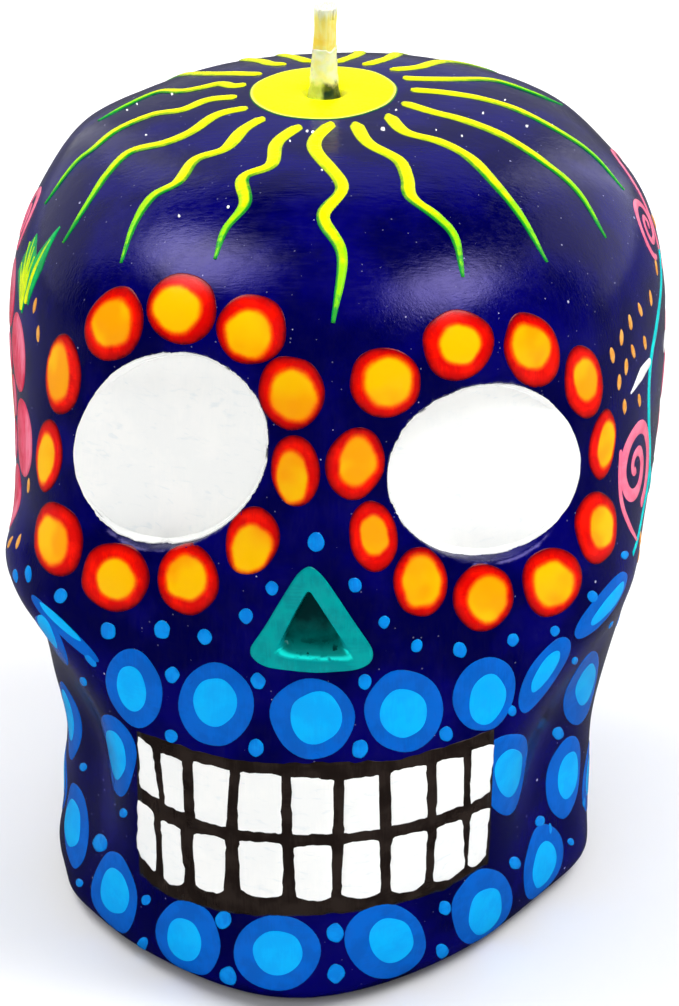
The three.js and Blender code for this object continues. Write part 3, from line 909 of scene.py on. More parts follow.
teeth = {
    "black": ((30, 23, 20), (44, 36, 32), 260),
    "bandTop": (
        (137, 731), (188, 748), (231, 759), (273, 763), (344, 762), (398, 760), (414, 755), (459, 742),
        (494, 729),
    ),
    "bandBottom": (
        (140, 876), (174, 898), (231, 913), (288, 916), (344, 913), (385, 907), (442, 890), (488, 864),
    ),
    # corners: top left, top right, bottom right, bottom left
    "upper": (
        ((138, 735), (152.5, 748.7), (159.8, 799), (141, 787.6)),
        ((160.6, 752.5), (182.5, 759.5), (184.4, 812.5), (165.3, 804.2)),
        ((193, 760.2), (229.7, 769.7), (226.9, 827.8), (195.3, 818.9)),
        ((239.9, 771), (282, 775.5), (282, 833.5), (237, 830)),
        ((290.9, 776.1), (333.8, 779.3), (332.5, 833.5), (292.8, 834.8)),
        ((344, 779.3), (379, 774.8), (379.7, 829), (343.4, 833.5)),
        ((390, 771.7), (425.6, 764), (427.9, 817), (391.2, 825.9)),
        ((436.2, 760.8), (463.3, 755.7), (463, 804.8), (436.2, 815.7)),
        ((470.9, 750), (494.1, 743), (488.8, 792), (469.6, 803.5)),
    ),
    "lower": (
        ((138.5, 797.8), (155.1, 813.1), (157.6, 871.8), (137.9, 848.8)),
        ((161.5, 818.9), (180.6, 827.8), (185.7, 882), (164.6, 879.4)),
        ((193.3, 832.2), (226.5, 838), (224.6, 891.6), (195.3, 884.5)),
        ((238.6, 839.9), (283, 843), (283.3, 896), (239.9, 889.6)),
        ((293.5, 846.3), (331.9, 843.7), (331.6, 897.3), (295.4, 896.7)),
        ((343.4, 843), (379, 838.6), (381, 892.2), (340.8, 895.4)),
        ((391.8, 836.7), (427.3, 829.7), (425, 882.6), (389.3, 892.2)),
        ((436.2, 827.1), (462.2, 818), (463.9, 868), (432, 882)),
        ((470.3, 813.8), (489.4, 805.5), (485, 855.2), (466.8, 866)),
    ),
    "bandRise": 0.14 * mm,
    "toothRise": 0.2 * mm,
    "raggedness": 1.6,  # pixels
    "squeeze": {"upper": 0.03, "lower": 0.06},  # how much the corners draw in
    "sag": {"upper": 0, "lower": 4},  # pixels that the lower edge bulges
}


def bandPlace():
    top = smoothCurve(teeth["bandTop"], strokeRows)
    bottom = smoothCurve(teeth["bandBottom"], strokeRows)

    def place(u, v):
        across = tightened(v)
        row = round((u + 1) / 2 * (strokeRows - 1))
        p = bottom[row].lerp(top[row], (across + 1) / 2)
        drift = ripple(p.x * 0.08, across * 3, 4) * teeth["raggedness"] * 1.5
        hit, skin = atPixel(p.x, p.y + drift)
        return hit, skin, {"rise": 1 - 0.8 * abs(across) ** 8}

    return place


def toothPlace(corners, row, seed):
    a, b, c, d = (Vector(p) for p in corners)
    squeeze, sag = teeth["squeeze"][row], teeth["sag"][row]

    def place(u, v):
        s, t = tightened(u), tightened(v)
        s, t = s * (1 - squeeze * t ** 6), t * (1 - squeeze * s ** 6)
        upper, lower = a.lerp(b, (s + 1) / 2), d.lerp(c, (s + 1) / 2)
        p = lower.lerp(upper, (t + 1) / 2)
        edge = max(abs(s), abs(t))
        drift = noise.noise_vector(Vector((p.x * 0.16, p.y * 0.16, seed * 3.7)))
        drift = drift * teeth["raggedness"] * edge ** 2
        bulge = sag * (1 - s * s) * max(0, -t)
        hit, skin = atPixel(p.x + drift.x, p.y + drift.y + bulge)
        return hit, skin, {"rise": 1 - 0.75 * edge ** 10}

    return place


def makeTeeth():
    blackPaint = plainPaint("brownBlackPaint", *teeth["black"])
    layPaint("toothBand", blackPaint, slab(strokeRows - 1, 10, "bandSlab"), [bandPlace()], teeth["bandRise"])
    places = []
    for row, firstSeed in (("upper", 0), ("lower", 20)):
        places += [toothPlace(corners, row, firstSeed + number) for number, corners in enumerate(teeth[row])]
    rise, lift = teeth["toothRise"], teeth["bandRise"] * 0.6
    layPaint("teeth", whitePaint, tileSlab, places, rise, lift, (), "white_paint", ["teeth_enamel"])


makeTeeth()
print("teeth are painted")


# Sun: a yellow disc that dips into the pit at the wick, and seventeen wavy rays

sun = {
    "radius": (10.38 * mm, 11.6 * mm),
    "shift": (-0.13 * mm, 0.15 * mm),  # of the disc from the wick's foot
    "rise": 0.2 * mm,
    "steps": 96,
    # the disc from the pit outward: radii of its upper side, then of its lower side
    "radii": (
        0.15, 0.18, 0.21, 0.24, 0.26, 0.275, 0.29, 0.31, 0.34, 0.4, 0.5, 0.62, 0.74, 0.84, 0.91, 0.96,
        0.985,
    ),
    "lowerRadii": (0.99, 0.6, 0.36, 0.29, 0.24, 0.15),
    # pixels, from the disc outward
    "rays": (
        ((331, 123), (314, 147), (342, 186), (323, 217), (342, 256), (333, 323)),
        ((299, 126), (277, 143), (271, 165), (243, 178), (245, 204), (225, 230), (215, 259)),
        ((263, 118), (243, 130), (225, 149), (195, 160), (178, 182), (152, 197), (134, 225), (121, 263)),
        ((247, 108), (217, 115), (191, 132), (165, 143), (130, 152), (108, 173), (93, 195), (63, 243)),
        ((237, 97), (208, 100), (182, 110), (152, 115), (117, 130), (93, 149), (74, 165), (45, 204)),
        ((246, 84.7), (233, 86.2), (220, 84), (199, 88.4), (182, 91.3), (163, 91.3), (148, 95.7),
         (126, 106), (98, 121)),
        ((403, 78), (417, 79), (453, 79.5), (483, 79.5), (502, 82.5), (527, 91), (562, 105)),
        ((411, 90), (446, 93), (482, 99), (520, 111), (565, 135), (595, 157), (624, 190)),
        ((403, 103), (432, 112), (466, 121), (505, 137), (545, 163), (578, 192), (606, 238)),
        ((388, 115), (405, 132), (440, 142), (470, 158), (497, 186), (522, 218), (547, 262)),
        ((355, 123), (368, 143), (398, 160), (407, 178), (411, 197), (437, 217), (455, 238), (463, 277)),
    ),
    # azimuths and elevations, for the rays that run over the back
    "backRays": (
        ((-131, 76.8), (-124, 69.3), (-127, 63.5), (-131, 57), (-126, 49), (-128, 40)),
        ((-154, 74.5), (-149, 72.5), (-149, 70), (-148.5, 65), (-152, 58), (-148, 50), (-151, 41),
         (-148, 30)),
        ((-169, 74.5), (-166, 73), (-163.5, 70), (-161.5, 66), (-163, 60), (-167, 54), (-165, 46),
         (-168, 38), (-166, 31)),
        ((178, 75.5), (174, 73), (171.5, 70.5), (171.5, 66), (175, 60), (178, 54), (174, 46), (176.5, 39),
         (175, 33)),
        ((159, 76), (156, 71), (158, 66.5), (161.5, 60), (156.5, 52), (159.5, 43), (156.5, 33)),
        ((140, 76), (136, 73), (136, 70.8), (140, 66), (141, 62), (138, 55), (142, 47), (138, 38)),
    ),
    "rayWidths": (2.1 * mm, 1.95 * mm, 0.5 * mm),
    "rayRise": 0.26 * mm,
}


def sunPlace():
    crown = Vector((wickFoot.x + sun["shift"][0], wickFoot.y + sun["shift"][1], crownLevel))
    wide, deep = sun["radius"]

    def place(u, v):
        far = math.hypot(u, v)
        wave = noise.noise(Vector((u, v, 3)) * 2) * 0.02 * far
        hit, skin = onSkin(crown + Vector((u * wide, v * deep, 0)) * (1 + wave), Vector((0, 0, 1)))
        return hit, skin, {"edge": far}

    return place


def makeSun():
    profile = [(sun["radii"][0], -1)]
    profile += [(radius, 1 - 0.6 * radius ** 16) for radius in sun["radii"]]
    profile += [(1, 0.1)] + [(radius, -1) for radius in sun["lowerRadii"]]
    disc = spunBead(profile, sun["steps"], "sunDisc")
    seat = {"slot": "yellow_paint", "replaces": ["sun_enamel"]}
    layPaint("crownSun", makeSunPaint(), disc, [sunPlace()], sun["rise"], tags=("edge",), **seat)


def makeSunPaint():
    paint = Paint("yellowPaint", ink(255, 254, 0), ink(250, 246, 0), 200, gloss=0.25)
    edge = paint.tag("edge")
    paint.over(paint.fade(edge, 0.94, 0.965, 0, 0.7), ink(244, 246, 120))
    paint.over(paint.fade(edge, 0.972, 0.99), ink(40, 110, 60))
    return paint.done()


def makeRayPaint():
    paint = Paint("rayPaint", ink(255, 255, 0), ink(250, 252, 0), 420, gloss=0.3)
    edge = paint.tag("edge")
    wander = paint.plus(paint.tag("along"), paint.grain(900, 4, (1, 1, 0.3)), 0.5)
    paint.over(paint.fade(wander, 0.65, 1.05, 0, 0.9), ink(130, 232, 10))
    shaded = paint.fade(paint.tag("side"), -0.9, 0.7, 0.3, 1.0)  # the side toward the face is greener
    rim = paint.times(paint.fade(edge, 0.3, 0.75), paint.fade(wander, 0.3, 0.85, 0.35, 1.0))
    paint.over(paint.times(rim, shaded), ink(0, 136, 36))
    paint.over(paint.fade(edge, 0.9, 0.98, 0, 0.85), ink(20, 70, 60))
    paint.over(paint.fade(wander, 1.05, 1.25, 0, 0.9), ink(0, 150, 60))  # the tip
    return paint.done()


def makeRays():
    width = taper(*sun["rayWidths"], 1.6)
    paths = [pixelPath(points) for points in sun["rays"]]
    paths += [globePath(points) for points in sun["backRays"]]
    layStrokes("sunRays", makeRayPaint(), [(path, width) for path in paths], sun["rayRise"])


makeSun()
makeRays()
print("sun is painted")


# Dots: orange rings round the eyes, blue ones round the mouth

orangeDots = {
    # x, y, width, height and turn of a dot, then x, y, width and height of its core, in pixels
    "dots": (
        (111.5, 324.5, 57, 76, -18, 110.5, 324, 38, 50), (180.5, 307, 70, 72, -15, 176.5, 309, 49, 47),
        (250.5, 329, 71, 70, 0, 248.6, 334, 47, 48), (290.5, 393, 66, 74, 18, 293.6, 395, 46, 53),
        (295, 471, 49, 71, 4, 292, 477, 32, 51), (252, 540, 53, 70, -12, 251.8, 548, 39, 50),
        (187, 579.5, 62, 72, 6, 186.8, 578, 42, 45), (113.5, 577.5, 69, 69, 10, 115.2, 579, 39, 41),
        (56, 539, 48, 75, 8, 51.8, 540, 30, 50), (48, 455.5, 27, 73, -4, 46, 458, 17, 49),
        (62, 374.5, 37, 80, 0, 58, 372.5, 24, 58), (386.8, 383.7, 72, 70, -12, 389, 382.4, 50, 50),
        (459.4, 345, 71, 71, 0, 460.3, 345, 43, 42), (533.8, 351, 55, 74, 14, 531.6, 347.3, 37, 46),
        (584, 382.4, 40, 73, 4, 585.4, 379, 24, 44), (602.7, 444.6, 26, 71, -8, 605.7, 443, 16, 48),
        (598.8, 527.6, 42, 73, 0, 602, 527.6, 24, 45), (553.3, 582.3, 59, 71, -12, 553.7, 584.6, 40, 48),
        (483.5, 597.4, 62, 68, -8, 488.3, 598, 39, 47), (420.2, 581.8, 55, 70, 0, 421, 581.8, 41, 52),
        (373.4, 535.9, 49, 72, 8, 374, 534.8, 29, 42), (355.6, 464.1, 57, 72, -14, 357, 462, 36, 50),
    ),
    "rise": 0.12 * mm,
    "softness": 0.12,  # how widely the core blends into the ring
}


def makeOrangePaint():
    paint = Paint("orangePaint", ink(250, 18, 0), ink(222, 4, 0), 300)
    softness = orangeDots["softness"]
    ragged = paint.times(paint.calc("SUBTRACT", paint.grain(900, 4), 0.5), 0.1)
    rim = paint.plus(paint.tag("edge"), ragged)
    paint.over(paint.fade(rim, 0.72, 0.92, 0, 0.6), ink(150, 0, 4))
    paint.over(paint.fade(rim, 0.88, 1.0, 0, 0.9), ink(70, 0, 20))
    core = paint.plus(paint.tag("core"), ragged)
    paint.over(paint.fade(core, 1 - softness, 1 + softness * 1.2, 1, 0), ink(255, 112, 0))
    yellow = paint.mix(paint.fade(paint.grain(110, 2), 0.42, 0.6), ink(255, 192, 0), ink(255, 164, 0))
    paint.over(paint.fade(core, 0.93 - softness, 1.02, 1, 0), yellow)
    return paint.done()


def makeOrangeDots():
    places = []
    for x, y, width, height, turn, coreX, coreY, coreWidth, coreHeight in orangeDots["dots"]:
        spot = pixelSpot(x, y, width, height, turn)
        away = Matrix.Rotation(math.radians(turn), 2) @ Vector((coreX - x, coreY - y))
        core = (away.x * 2 / width, -away.y * 2 / height, coreWidth / width, coreHeight / height)
        places.append(beadPlace(spot, len(places) + 1, 0.035, core))
    layPaint("orangeDots", makeOrangePaint(), bigBead, places, orangeDots["rise"], tags=("edge", "core"))


blueDots = {
    # x, y, width, height and turn of a dot, then x, y, width and height of its core, in pixels
    "dots": (
        (132.6, 689.4, 55, 80, 14, 131.6, 689, 29, 47), (214.6, 705.5, 74, 84, 8, 215.2, 702, 43, 49),
        (312.5, 718.4, 85, 80, 0, 316, 717.6, 52, 53), (404.5, 711.6, 79, 81, -8, 403.5, 712.8, 47, 49),
        (485.6, 695, 61, 77, -14, 487.5, 700, 35, 53), (544.5, 675, 28, 86, -33, 545, 671, 14, 50),
        (605, 607, 22, 84, -38, 609, 604, 11, 54), (582.5, 686, 35, 79, -13, 585.5, 683.2, 20, 44),
        (565, 776.6, 34, 84, -8, 567.8, 774.6, 20, 48), (510, 774, 40, 81, -12, 510.5, 772.5, 26, 48),
        (543.6, 863.6, 38, 78, -14, 544, 864.8, 22, 48), (484.6, 908, 57, 80, -18, 485.5, 911.8, 31, 50),
        (389, 944, 80, 76, -10, 391.6, 941, 43, 44), (277, 954.7, 87, 77, 0, 277, 953, 49, 45),
        (186.3, 940.3, 62, 79, 20, 184, 939.8, 33, 45), (113.3, 892.8, 45, 83, 5, 115, 891, 28, 47),
        (114.9, 755.3, 36, 83, 5, 114.4, 754.5, 25, 51), (74.7, 824.8, 26, 87, 0, 72, 823, 17, 49),
        (71, 719, 20, 80, 5, 69.5, 714, 10, 54), (63, 630, 12, 96, 47, 60, 622, 7, 58),
        (52, 641, 24, 60, 28, 47.6, 632, 12, 38),
    ),
    # further dots round the sides and the back: azimuths, elevation, width and height
    "rows": (
        (range(66, 295, 19), -47, 10.4 * mm, 10.6 * mm), (range(79, 290, 19), -29, 10.2 * mm, 10.6 * mm),
    ),
    "coreShare": 0.58,
    "rise": 0.12 * mm,
    "coreRise": 0.09 * mm,
    "sky": ((0, 182, 254), (0, 170, 250), 220),
}


def makeBluePaint():
    paint = Paint("midBluePaint", ink(0, 100, 206), ink(0, 92, 192), 300)
    blots = paint.fade(paint.grain(800, 5, warp=0.8), 0.68, 0.76, 0, 0.35)
    paint.over(blots, ink(2, 60, 160))
    return paint.done()


def makeBlueDots():
    spots = []
    for x, y, width, height, turn, *core in blueDots["dots"]:
        spots.append((pixelSpot(x, y, width, height, turn), pixelSpot(*core, turn)))
    chance = random.Random(11)
    for azimuths, elevation, width, height in blueDots["rows"]:
        for azimuth in azimuths:
            place = (azimuth + chance.uniform(-1.5, 1.5), elevation + chance.uniform(-1, 1))
            turn = chance.uniform(-12, 12)
            share = blueDots["coreShare"] + chance.uniform(-0.05, 0.05)
            aside, above = chance.uniform(-0.4, 0.4) * mm, 0.2 * mm
            spots.append((
                globeSpot(*place, width, height, turn),
                globeSpot(*place, width * share, height * share, turn, aside, above),
            ))
    rings = [beadPlace(ring, number + 40, 0.04) for number, (ring, _) in enumerate(spots)]
    cores = [beadPlace(core, number + 90, 0.04) for number, (_, core) in enumerate(spots)]
    rise = blueDots["rise"]
    layPaint("blueDots", makeBluePaint(), bigBead, rings, rise)
    skyPaint = plainPaint("skyBluePaint", *blueDots["sky"])
    layPaint("blueDotCores", skyPaint, bigBead, cores, blueDots["coreRise"], rise * 0.8)


smallDots = {
    "blue": ((2, 146, 236), (0, 128, 224), 500),
    # x, y and radius in pixels
    "pixels": (
        (316, 542, 9), (272, 588, 6.5), (246, 616, 7), (205, 637, 7.5), (162, 630, 8.5), (108, 631, 8),
        (60, 596, 7), (172, 675, 7.5), (258, 681, 7.5), (256, 748, 8), (171, 736, 6.5), (83, 682, 5),
        (83, 767, 4), (123, 813, 4.5), (100, 843, 8), (79, 883, 4), (146, 900, 5), (223, 920, 8.5),
        (142, 945, 6), (228, 977, 9), (335, 933, 9), (336, 974, 9), (355, 585, 7), (384, 622, 6),
        (365, 682, 7), (360, 749, 8.5), (417, 646, 6), (460, 650, 7), (513, 640, 6), (555, 631, 5),
        (593, 597, 5.5), (575, 661, 4), (611, 625, 4), (512, 711, 5), (446, 734, 7), (558, 733, 6),
        (540, 821, 5), (515, 863, 6), (445, 908, 6.5), (571, 842, 3.5), (443, 952, 6.5), (625, 555, 4),
    ),
    # x, y, width, height and turn
    "ovals": (
        (90, 659, 8, 19, 32), (28, 574, 7, 17, 0), (15, 576, 5, 15, 8), (587, 838, 4, 13, 0),
        (584, 801, 4, 12, 0),
    ),
    # azimuths, elevation and size, round the sides and the back
    "rows": (
        (range(84, 285, 19), -38, 2.2 * mm), (range(66, 295, 19), -21, 2.2 * mm),
        (range(75, 294, 19), -53.5, 2 * mm),
    ),
    "rise": 0.12 * mm,
}


def makeSmallDots():
    chance = random.Random(5)
    dots = []
    for number, (x, y, radius) in enumerate(smallDots["pixels"]):
        dots.append((pixelSpot(x, y, radius * 1.9, radius * 2.2, chance.uniform(-25, 25)), number + 150))
    dots += [(pixelSpot(*oval), number + 250) for number, oval in enumerate(smallDots["ovals"])]
    for azimuths, elevation, size in smallDots["rows"]:
        for azimuth in azimuths:
            place = (azimuth + chance.uniform(-1, 1), elevation + chance.uniform(-1, 1))
            dots.append((globeSpot(*place, size, size * 1.1), azimuth))
    places = [beadPlace(spot, seed, 0.07) for spot, seed in dots]
    paint = plainPaint("dotBluePaint", *smallDots["blue"])
    layPaint("smallDots", paint, smallBead, places, smallDots["rise"])


makeOrangeDots()
makeBlueDots()
makeSmallDots()
print("dots are painted")


# Flowers, leaves, scrolls and lines of the sides and the back

sides = {
    # two shades and the patches in a metre, then the layers over them
    "paints": {
        "heartPaint": (
            (255, 196, 20), (250, 164, 10), 300,
            ("core", 0.85, 1.1, 1, 0, (255, 244, 60)), ("edge", 0.84, 1.0, 0, 0.8, (236, 92, 0)),
        ),
        "leafPaint": ((0, 190, 92), (0, 156, 76), 420, ("edge", 0.7, 1.0, 0, 0.7, (0, 104, 66))),
        "limePaint": ((232, 250, 0), (196, 236, 0), 500, ("along", 0.5, 1.0, 0, 0.7, (150, 226, 20))),
        "pinkPaint": ((255, 130, 160), (248, 112, 146), 420),
        "brightTurquoise": ((0, 222, 220), (0, 200, 204), 420),
        "amberPaint": ((244, 178, 88), (232, 154, 62), 900),
    },
    # direction of the middle, radius of the petals' ring, petals, their width and length, turn of the first
    "petals": (
        (-71.5, 17.5, 15.4 * mm, 8, 11.2 * mm, 9.2 * mm, 0),
        (-71.5, 17.5, 7.9 * mm, 7, 6 * mm, 5.2 * mm, 22), (180, 19, 16 * mm, 8, 10.8 * mm, 7.8 * mm, 0),
        (180, 19, 8.6 * mm, 7, 6.2 * mm, 5.2 * mm, 22), (95.5, 13, 10.6 * mm, 8, 7.6 * mm, 6.8 * mm, 22.5),
    ),
    "hearts": ((-71.5, 17.5, 4 * mm), (180, 19, 4.2 * mm), (95.5, 13, 5.2 * mm)),
    # points of the middle line as azimuth and elevation, then the greatest width
    "leaves": (
        (((-57.6, 33.4), (-59.4, 37), (-61.6, 43.5)), 10.4 * mm),
        (((-55, 35), (-54.8, 40), (-53.4, 46)), 4.2 * mm), (((-91, 32), (-94, 37), (-100, 42)), 6.4 * mm),
        (((-80, -3), (-78, -7), (-70, -14)), 5.4 * mm), (((-63, -2), (-60, -6), (-59, -12)), 4.2 * mm),
        (((-90, -1), (-94, -5), (-99, -12)), 5.6 * mm), (((166, 39), (160, 43), (152, 50)), 6.4 * mm),
        (((194, 39), (200, 43), (208, 50)), 6.4 * mm), (((166, -1), (160, -5), (152, -12)), 6.4 * mm),
        (((194, -1), (200, -5), (208, -12)), 6.4 * mm), (((158, 19), (152, 21), (146, 18)), 4.6 * mm),
        (((202, 19), (210, 21), (219, 17)), 5.6 * mm), (((86, 0), (80, 0.5), (74.5, 6)), 4.4 * mm),
        (((105, 0), (111, 0.5), (116.5, 6)), 4.4 * mm),
    ),
    # foot and tips of each fan of light strokes on a leaf
    "fans": (
        ((-58.2, 33.8), ((-64, 39), (-63.4, 42), (-61.4, 43), (-59.6, 42), (-57.6, 41))),
        ((-56.5, 35), ((-54, 44),)), ((-59.4, 34.6), ((-62.4, 40.5),)),
        ((-92, 34), ((-95, 40), (-98.5, 41.5), (-97.6, 39))),
        ((-79, -5), ((-74, -10), (-72, -12.5), (-77, -10.5))),
        ((-63.5, -5), ((-61.5, -10), (-59.5, -11), (-62.5, -11))),
        ((-92, -4), ((-96.5, -8), (-98, -11), (-95, -10))),
        ((163, 41), ((157, 44), (153.5, 49), (158.5, 47))),
        ((197, 41), ((203, 44), (206.5, 49), (201.5, 47))),
        ((163, -3), ((157, -6), (153.5, -11), (158.5, -9))),
        ((197, -3), ((203, -6), (206.5, -11), (201.5, -9))),
        ((155, 20), ((150, 19), (147.5, 18.6), (150, 21.2))),
        ((206, 20), ((213, 19), (216.5, 17.6), (213, 21.5))),
    ),
    # direction of the middle, radius, turns, where it starts in degrees, sense and width of the stroke
    "scrolls": (
        (-77.5, 43, 4.8 * mm, 1.9, -60, 1, 1.5 * mm), (-132, 38, 5 * mm, 1.9, -120, -1, 1.5 * mm),
        (-137, -1, 6 * mm, 1.9, 80, -1, 1.7 * mm), (142, -3, 5.4 * mm, 1.9, 100, 1, 1.6 * mm),
        (-110, 10, 6.2 * mm, 1.9, 90, -1, 1.7 * mm),
    ),
    "pairedScrolls": (
        (78.5, 40, 4.6 * mm, 1.9, -100, -1, 1.3 * mm), (57.5, 11.5, 6.9 * mm, 1.9, -75, 1, 2.2 * mm),
    ),
    "scrollShrink": 0.93,
    "pinkLines": (
        ((82.8, 33), (83.3, 38), (85.3, 42), (89.5, 45.8), (95.5, 47.6), (101.5, 45.8), (105.7, 42),
         (107.7, 38), (108.2, 33)),
    ),
    "pairedPinkLines": (((52.3, 16), (51.5, 9), (53.5, 4), (56.5, 0)),),
    "turquoiseLines": (
        ((-97, 34), (-104, 30), (-101, 24), (-107, 19)), ((-120, 30), (-124, 24), (-121, 18), (-125, 12)),
        ((142, 36), (146, 31), (143, 26), (147, 22)),
    ),
    "pairedTurquoiseLines": (
        ((84, 36), (79, 33), (71.5, 29.4), (66.1, 25.8), (64.3, 22), (64.6, 17), (66, 11), (65, 6),
         (61, 2.6), (56.4, 0), (53.9, -0.8)),
        ((66.2, 8), (71, 1), (79, -5), (87, -8), (95.5, -9)),
    ),
    # from the line outward
    "pairedWhiteStrokes": (
        ((65, 25), (60.5, 24.5), (55.8, 23)), ((70.5, 2), (66, -1.5), (63, -5.5)),
        ((89, -8.4), (88, -11), (87.6, -13.5)), ((79, -5), (77, -8.5), (75, -11.5)),
    ),
    "pairedWhiteRings": ((79.5, 23.5),),
    "whiteRings": ((95.5, 33.5),),
    "ringRadius": 1.35 * mm,
    # as azimuth and elevation
    "pairedAmberDots": (
        (51.1, 29.3), (54.4, 30.8), (58, 31.9), (62.5, 32.5), (68.3, 32.6), (75.5, 35), (62.8, 28.1),
        (57.7, 28.2), (54.8, 26.9), (52.3, 25.5), (59.1, 21.1), (53.6, 21.8), (59, -1), (60.5, -5),
        (62.5, -9), (89, 38), (95.5, -14),
    ),
    "amberDots": (
        (-51.6, 35.6), (-48.5, 32.5), (-49.7, 9.8), (-52.3, 0), (-49.1, 1.4), (-96, 28), (-98, 4),
        (-94, 36), (-104, 36), (-110, 27), (-112, 22), (-114, -2), (-104, -4), (-72, -8), (-84, -8),
        (171, 44), (180, 45.5), (189, 44), (171, -5), (180, -7), (189, -5), (155, 31), (152, 27), (205, 31),
        (208, 27), (155, 8), (152, 11), (205, 8), (208, 11), (143, 34), (147, 38), (217, 34), (213, 38),
        (141, 8), (219, 8),
    ),
    "amberSize": (1.1 * mm, 2.3 * mm),
    # widths of the lines, and of the strokes at foot, middle and tip
    "lineWidths": {"pink": 1.1 * mm, "turquoise": 1.6 * mm, "white": 0.7 * mm},
    "leafEnds": (0.5 * mm, 0.4 * mm),
    "fanWidths": (1.3 * mm, 1.1 * mm, 0.4 * mm),
    "spikeWidths": (1.2 * mm, 2.0 * mm, 0.3 * mm),
    "fanLift": 0.08 * mm,
    "pairMiddle": 95.5,  # azimuth of the line that the paired marks of the viewer's right are mirrored on
    "rise": 0.13 * mm,
}
scrollRows = 121


def mirrored(points):
    return [(2 * sides["pairMiddle"] - azimuth, elevation) for azimuth, elevation in points]


def bothSides(paths):
    return [*paths, *(mirrored(path) for path in paths)]


def allScrolls():
    scrolls = [*sides["scrolls"], *sides["pairedScrolls"]]
    for azimuth, elevation, radius, turns, start, sense, width in sides["pairedScrolls"]:
        scrolls.append((*mirrored([(azimuth, elevation)])[0], radius, turns, 180 - start, -sense, width))
    return scrolls


def sidePaint(name):
    return plainPaint(name, *sides["paints"][name])


def inkBrush(width):  # an even line with soft ends
    return taper(width * 0.7, width, width * 0.55)


def curledPath(azimuth, elevation, radius, turns, start, sense, shrink, steps, rows):  # from its outside in
    middle, normal = atGlobe(azimuth, elevation)
    east, north = eastAndNorth(normal)
    points = []
    for k in range(steps + 1):
        share = k / steps
        turn = math.radians(start + sense * 360 * turns * share)
        points.append((east * math.cos(turn) + north * math.sin(turn)) * radius * (1 - shrink * share))
    return [onSkin(middle + point, normal) for point in smoothCurve(points, rows)]


def makeRosePaint():
    paint = Paint("rosePaint", ink(246, 74, 112), ink(232, 44, 84), 420)
    streaks = paint.grain(1100, 4, (1, 1, 0.25))
    pale = paint.fade(paint.plus(paint.tag("along"), streaks, 1.4), 0.75, 1.5, 0, 0.75)
    paint.over(pale, ink(255, 142, 172))
    paint.over(paint.fade(paint.tag("edge"), 0.86, 1.0, 0, 0.5), ink(176, 24, 66))
    return paint.done()


def makePetals():
    petals, hearts = [], []
    number = 200
    for azimuth, elevation, ring, count, width, length, first in sides["petals"]:
        for k in range(count):
            number += 1
            turn = math.radians(first + 360 * k / count)
            aside, above = math.cos(turn) * ring, math.sin(turn) * ring
            spot = globeSpot(azimuth, elevation, width, length, math.degrees(turn) - 90, aside, above)
            petals.append(beadPlace(spot, number))
    for azimuth, elevation, size in sides["hearts"]:
        number += 1
        spot = globeSpot(azimuth, elevation, size * 2, size * 2)
        hearts.append(beadPlace(spot, number, 0.035, (0, 0, 0.55, 0.55)))
    layPaint("sidePetals", makeRosePaint(), bigBead, petals, sides["rise"], tags=("edge", "along"))
    layPaint("flowerHearts", sidePaint("heartPaint"), bigBead, hearts, sides["rise"], tags=("edge", "core"))


def makeSideLines():
    rise, widths = sides["rise"], sides["lineWidths"]
    pinkPaint = sidePaint("pinkPaint")
    start, end = sides["leafEnds"]
    leaves = [(globePath(points), taper(start, width, end)) for points, width in sides["leaves"]]
    layStrokes("sideLeaves", sidePaint("leafPaint"), leaves, rise)
    light = taper(*sides["fanWidths"])
    fans = [(globePath((foot, tip)), light) for foot, tips in sides["fans"] for tip in tips]
    layStrokes("leafStrokes", sidePaint("limePaint"), fans, rise, lift=sides["fanLift"])
    scrolls = [
        (curledPath(*scroll, sides["scrollShrink"], 60, scrollRows), inkBrush(width))
        for *scroll, width in allScrolls()
    ]
    layStrokes("pinkScrolls", pinkPaint, scrolls, rise, slab(scrollRows - 1, 6, "scrollSlab"))
    paths = [*sides["pinkLines"], *bothSides(sides["pairedPinkLines"])]
    pinkLines = [(globePath(points), inkBrush(widths["pink"])) for points in paths]
    layStrokes("pinkLines", pinkPaint, pinkLines, rise)
    paths = [*sides["turquoiseLines"], *bothSides(sides["pairedTurquoiseLines"])]
    lines = [(globePath(points), inkBrush(widths["turquoise"])) for points in paths]
    layStrokes("turquoiseLines", sidePaint("brightTurquoise"), lines, rise)
    spike = taper(*sides["spikeWidths"])
    white = [(globePath(points), spike) for points in bothSides(sides["pairedWhiteStrokes"])]
    for place in [*sides["whiteRings"], *sides["pairedWhiteRings"], *mirrored(sides["pairedWhiteRings"])]:
        ring = curledPath(*place, sides["ringRadius"], 1, 0, 1, 0, 12, strokeRows)
        white.append((ring, inkBrush(widths["white"])))
    layStrokes("whiteStrokes", whitePaint, white, rise)


def makeAmberDots():
    width, height = sides["amberSize"]
    paired = sides["pairedAmberDots"]
    places = []
    for number, direction in enumerate([*sides["amberDots"], *paired, *mirrored(paired)]):
        spot = globeSpot(*direction, width, height, 20 * math.sin(number * 1.7))
        places.append(beadPlace(spot, number + 300, 0.07))
    layPaint("amberDots", sidePaint("amberPaint"), smallBead, places, sides["rise"])


makePetals()
makeSideLines()
makeAmberDots()


# Flecks of white paint that fell on the crown

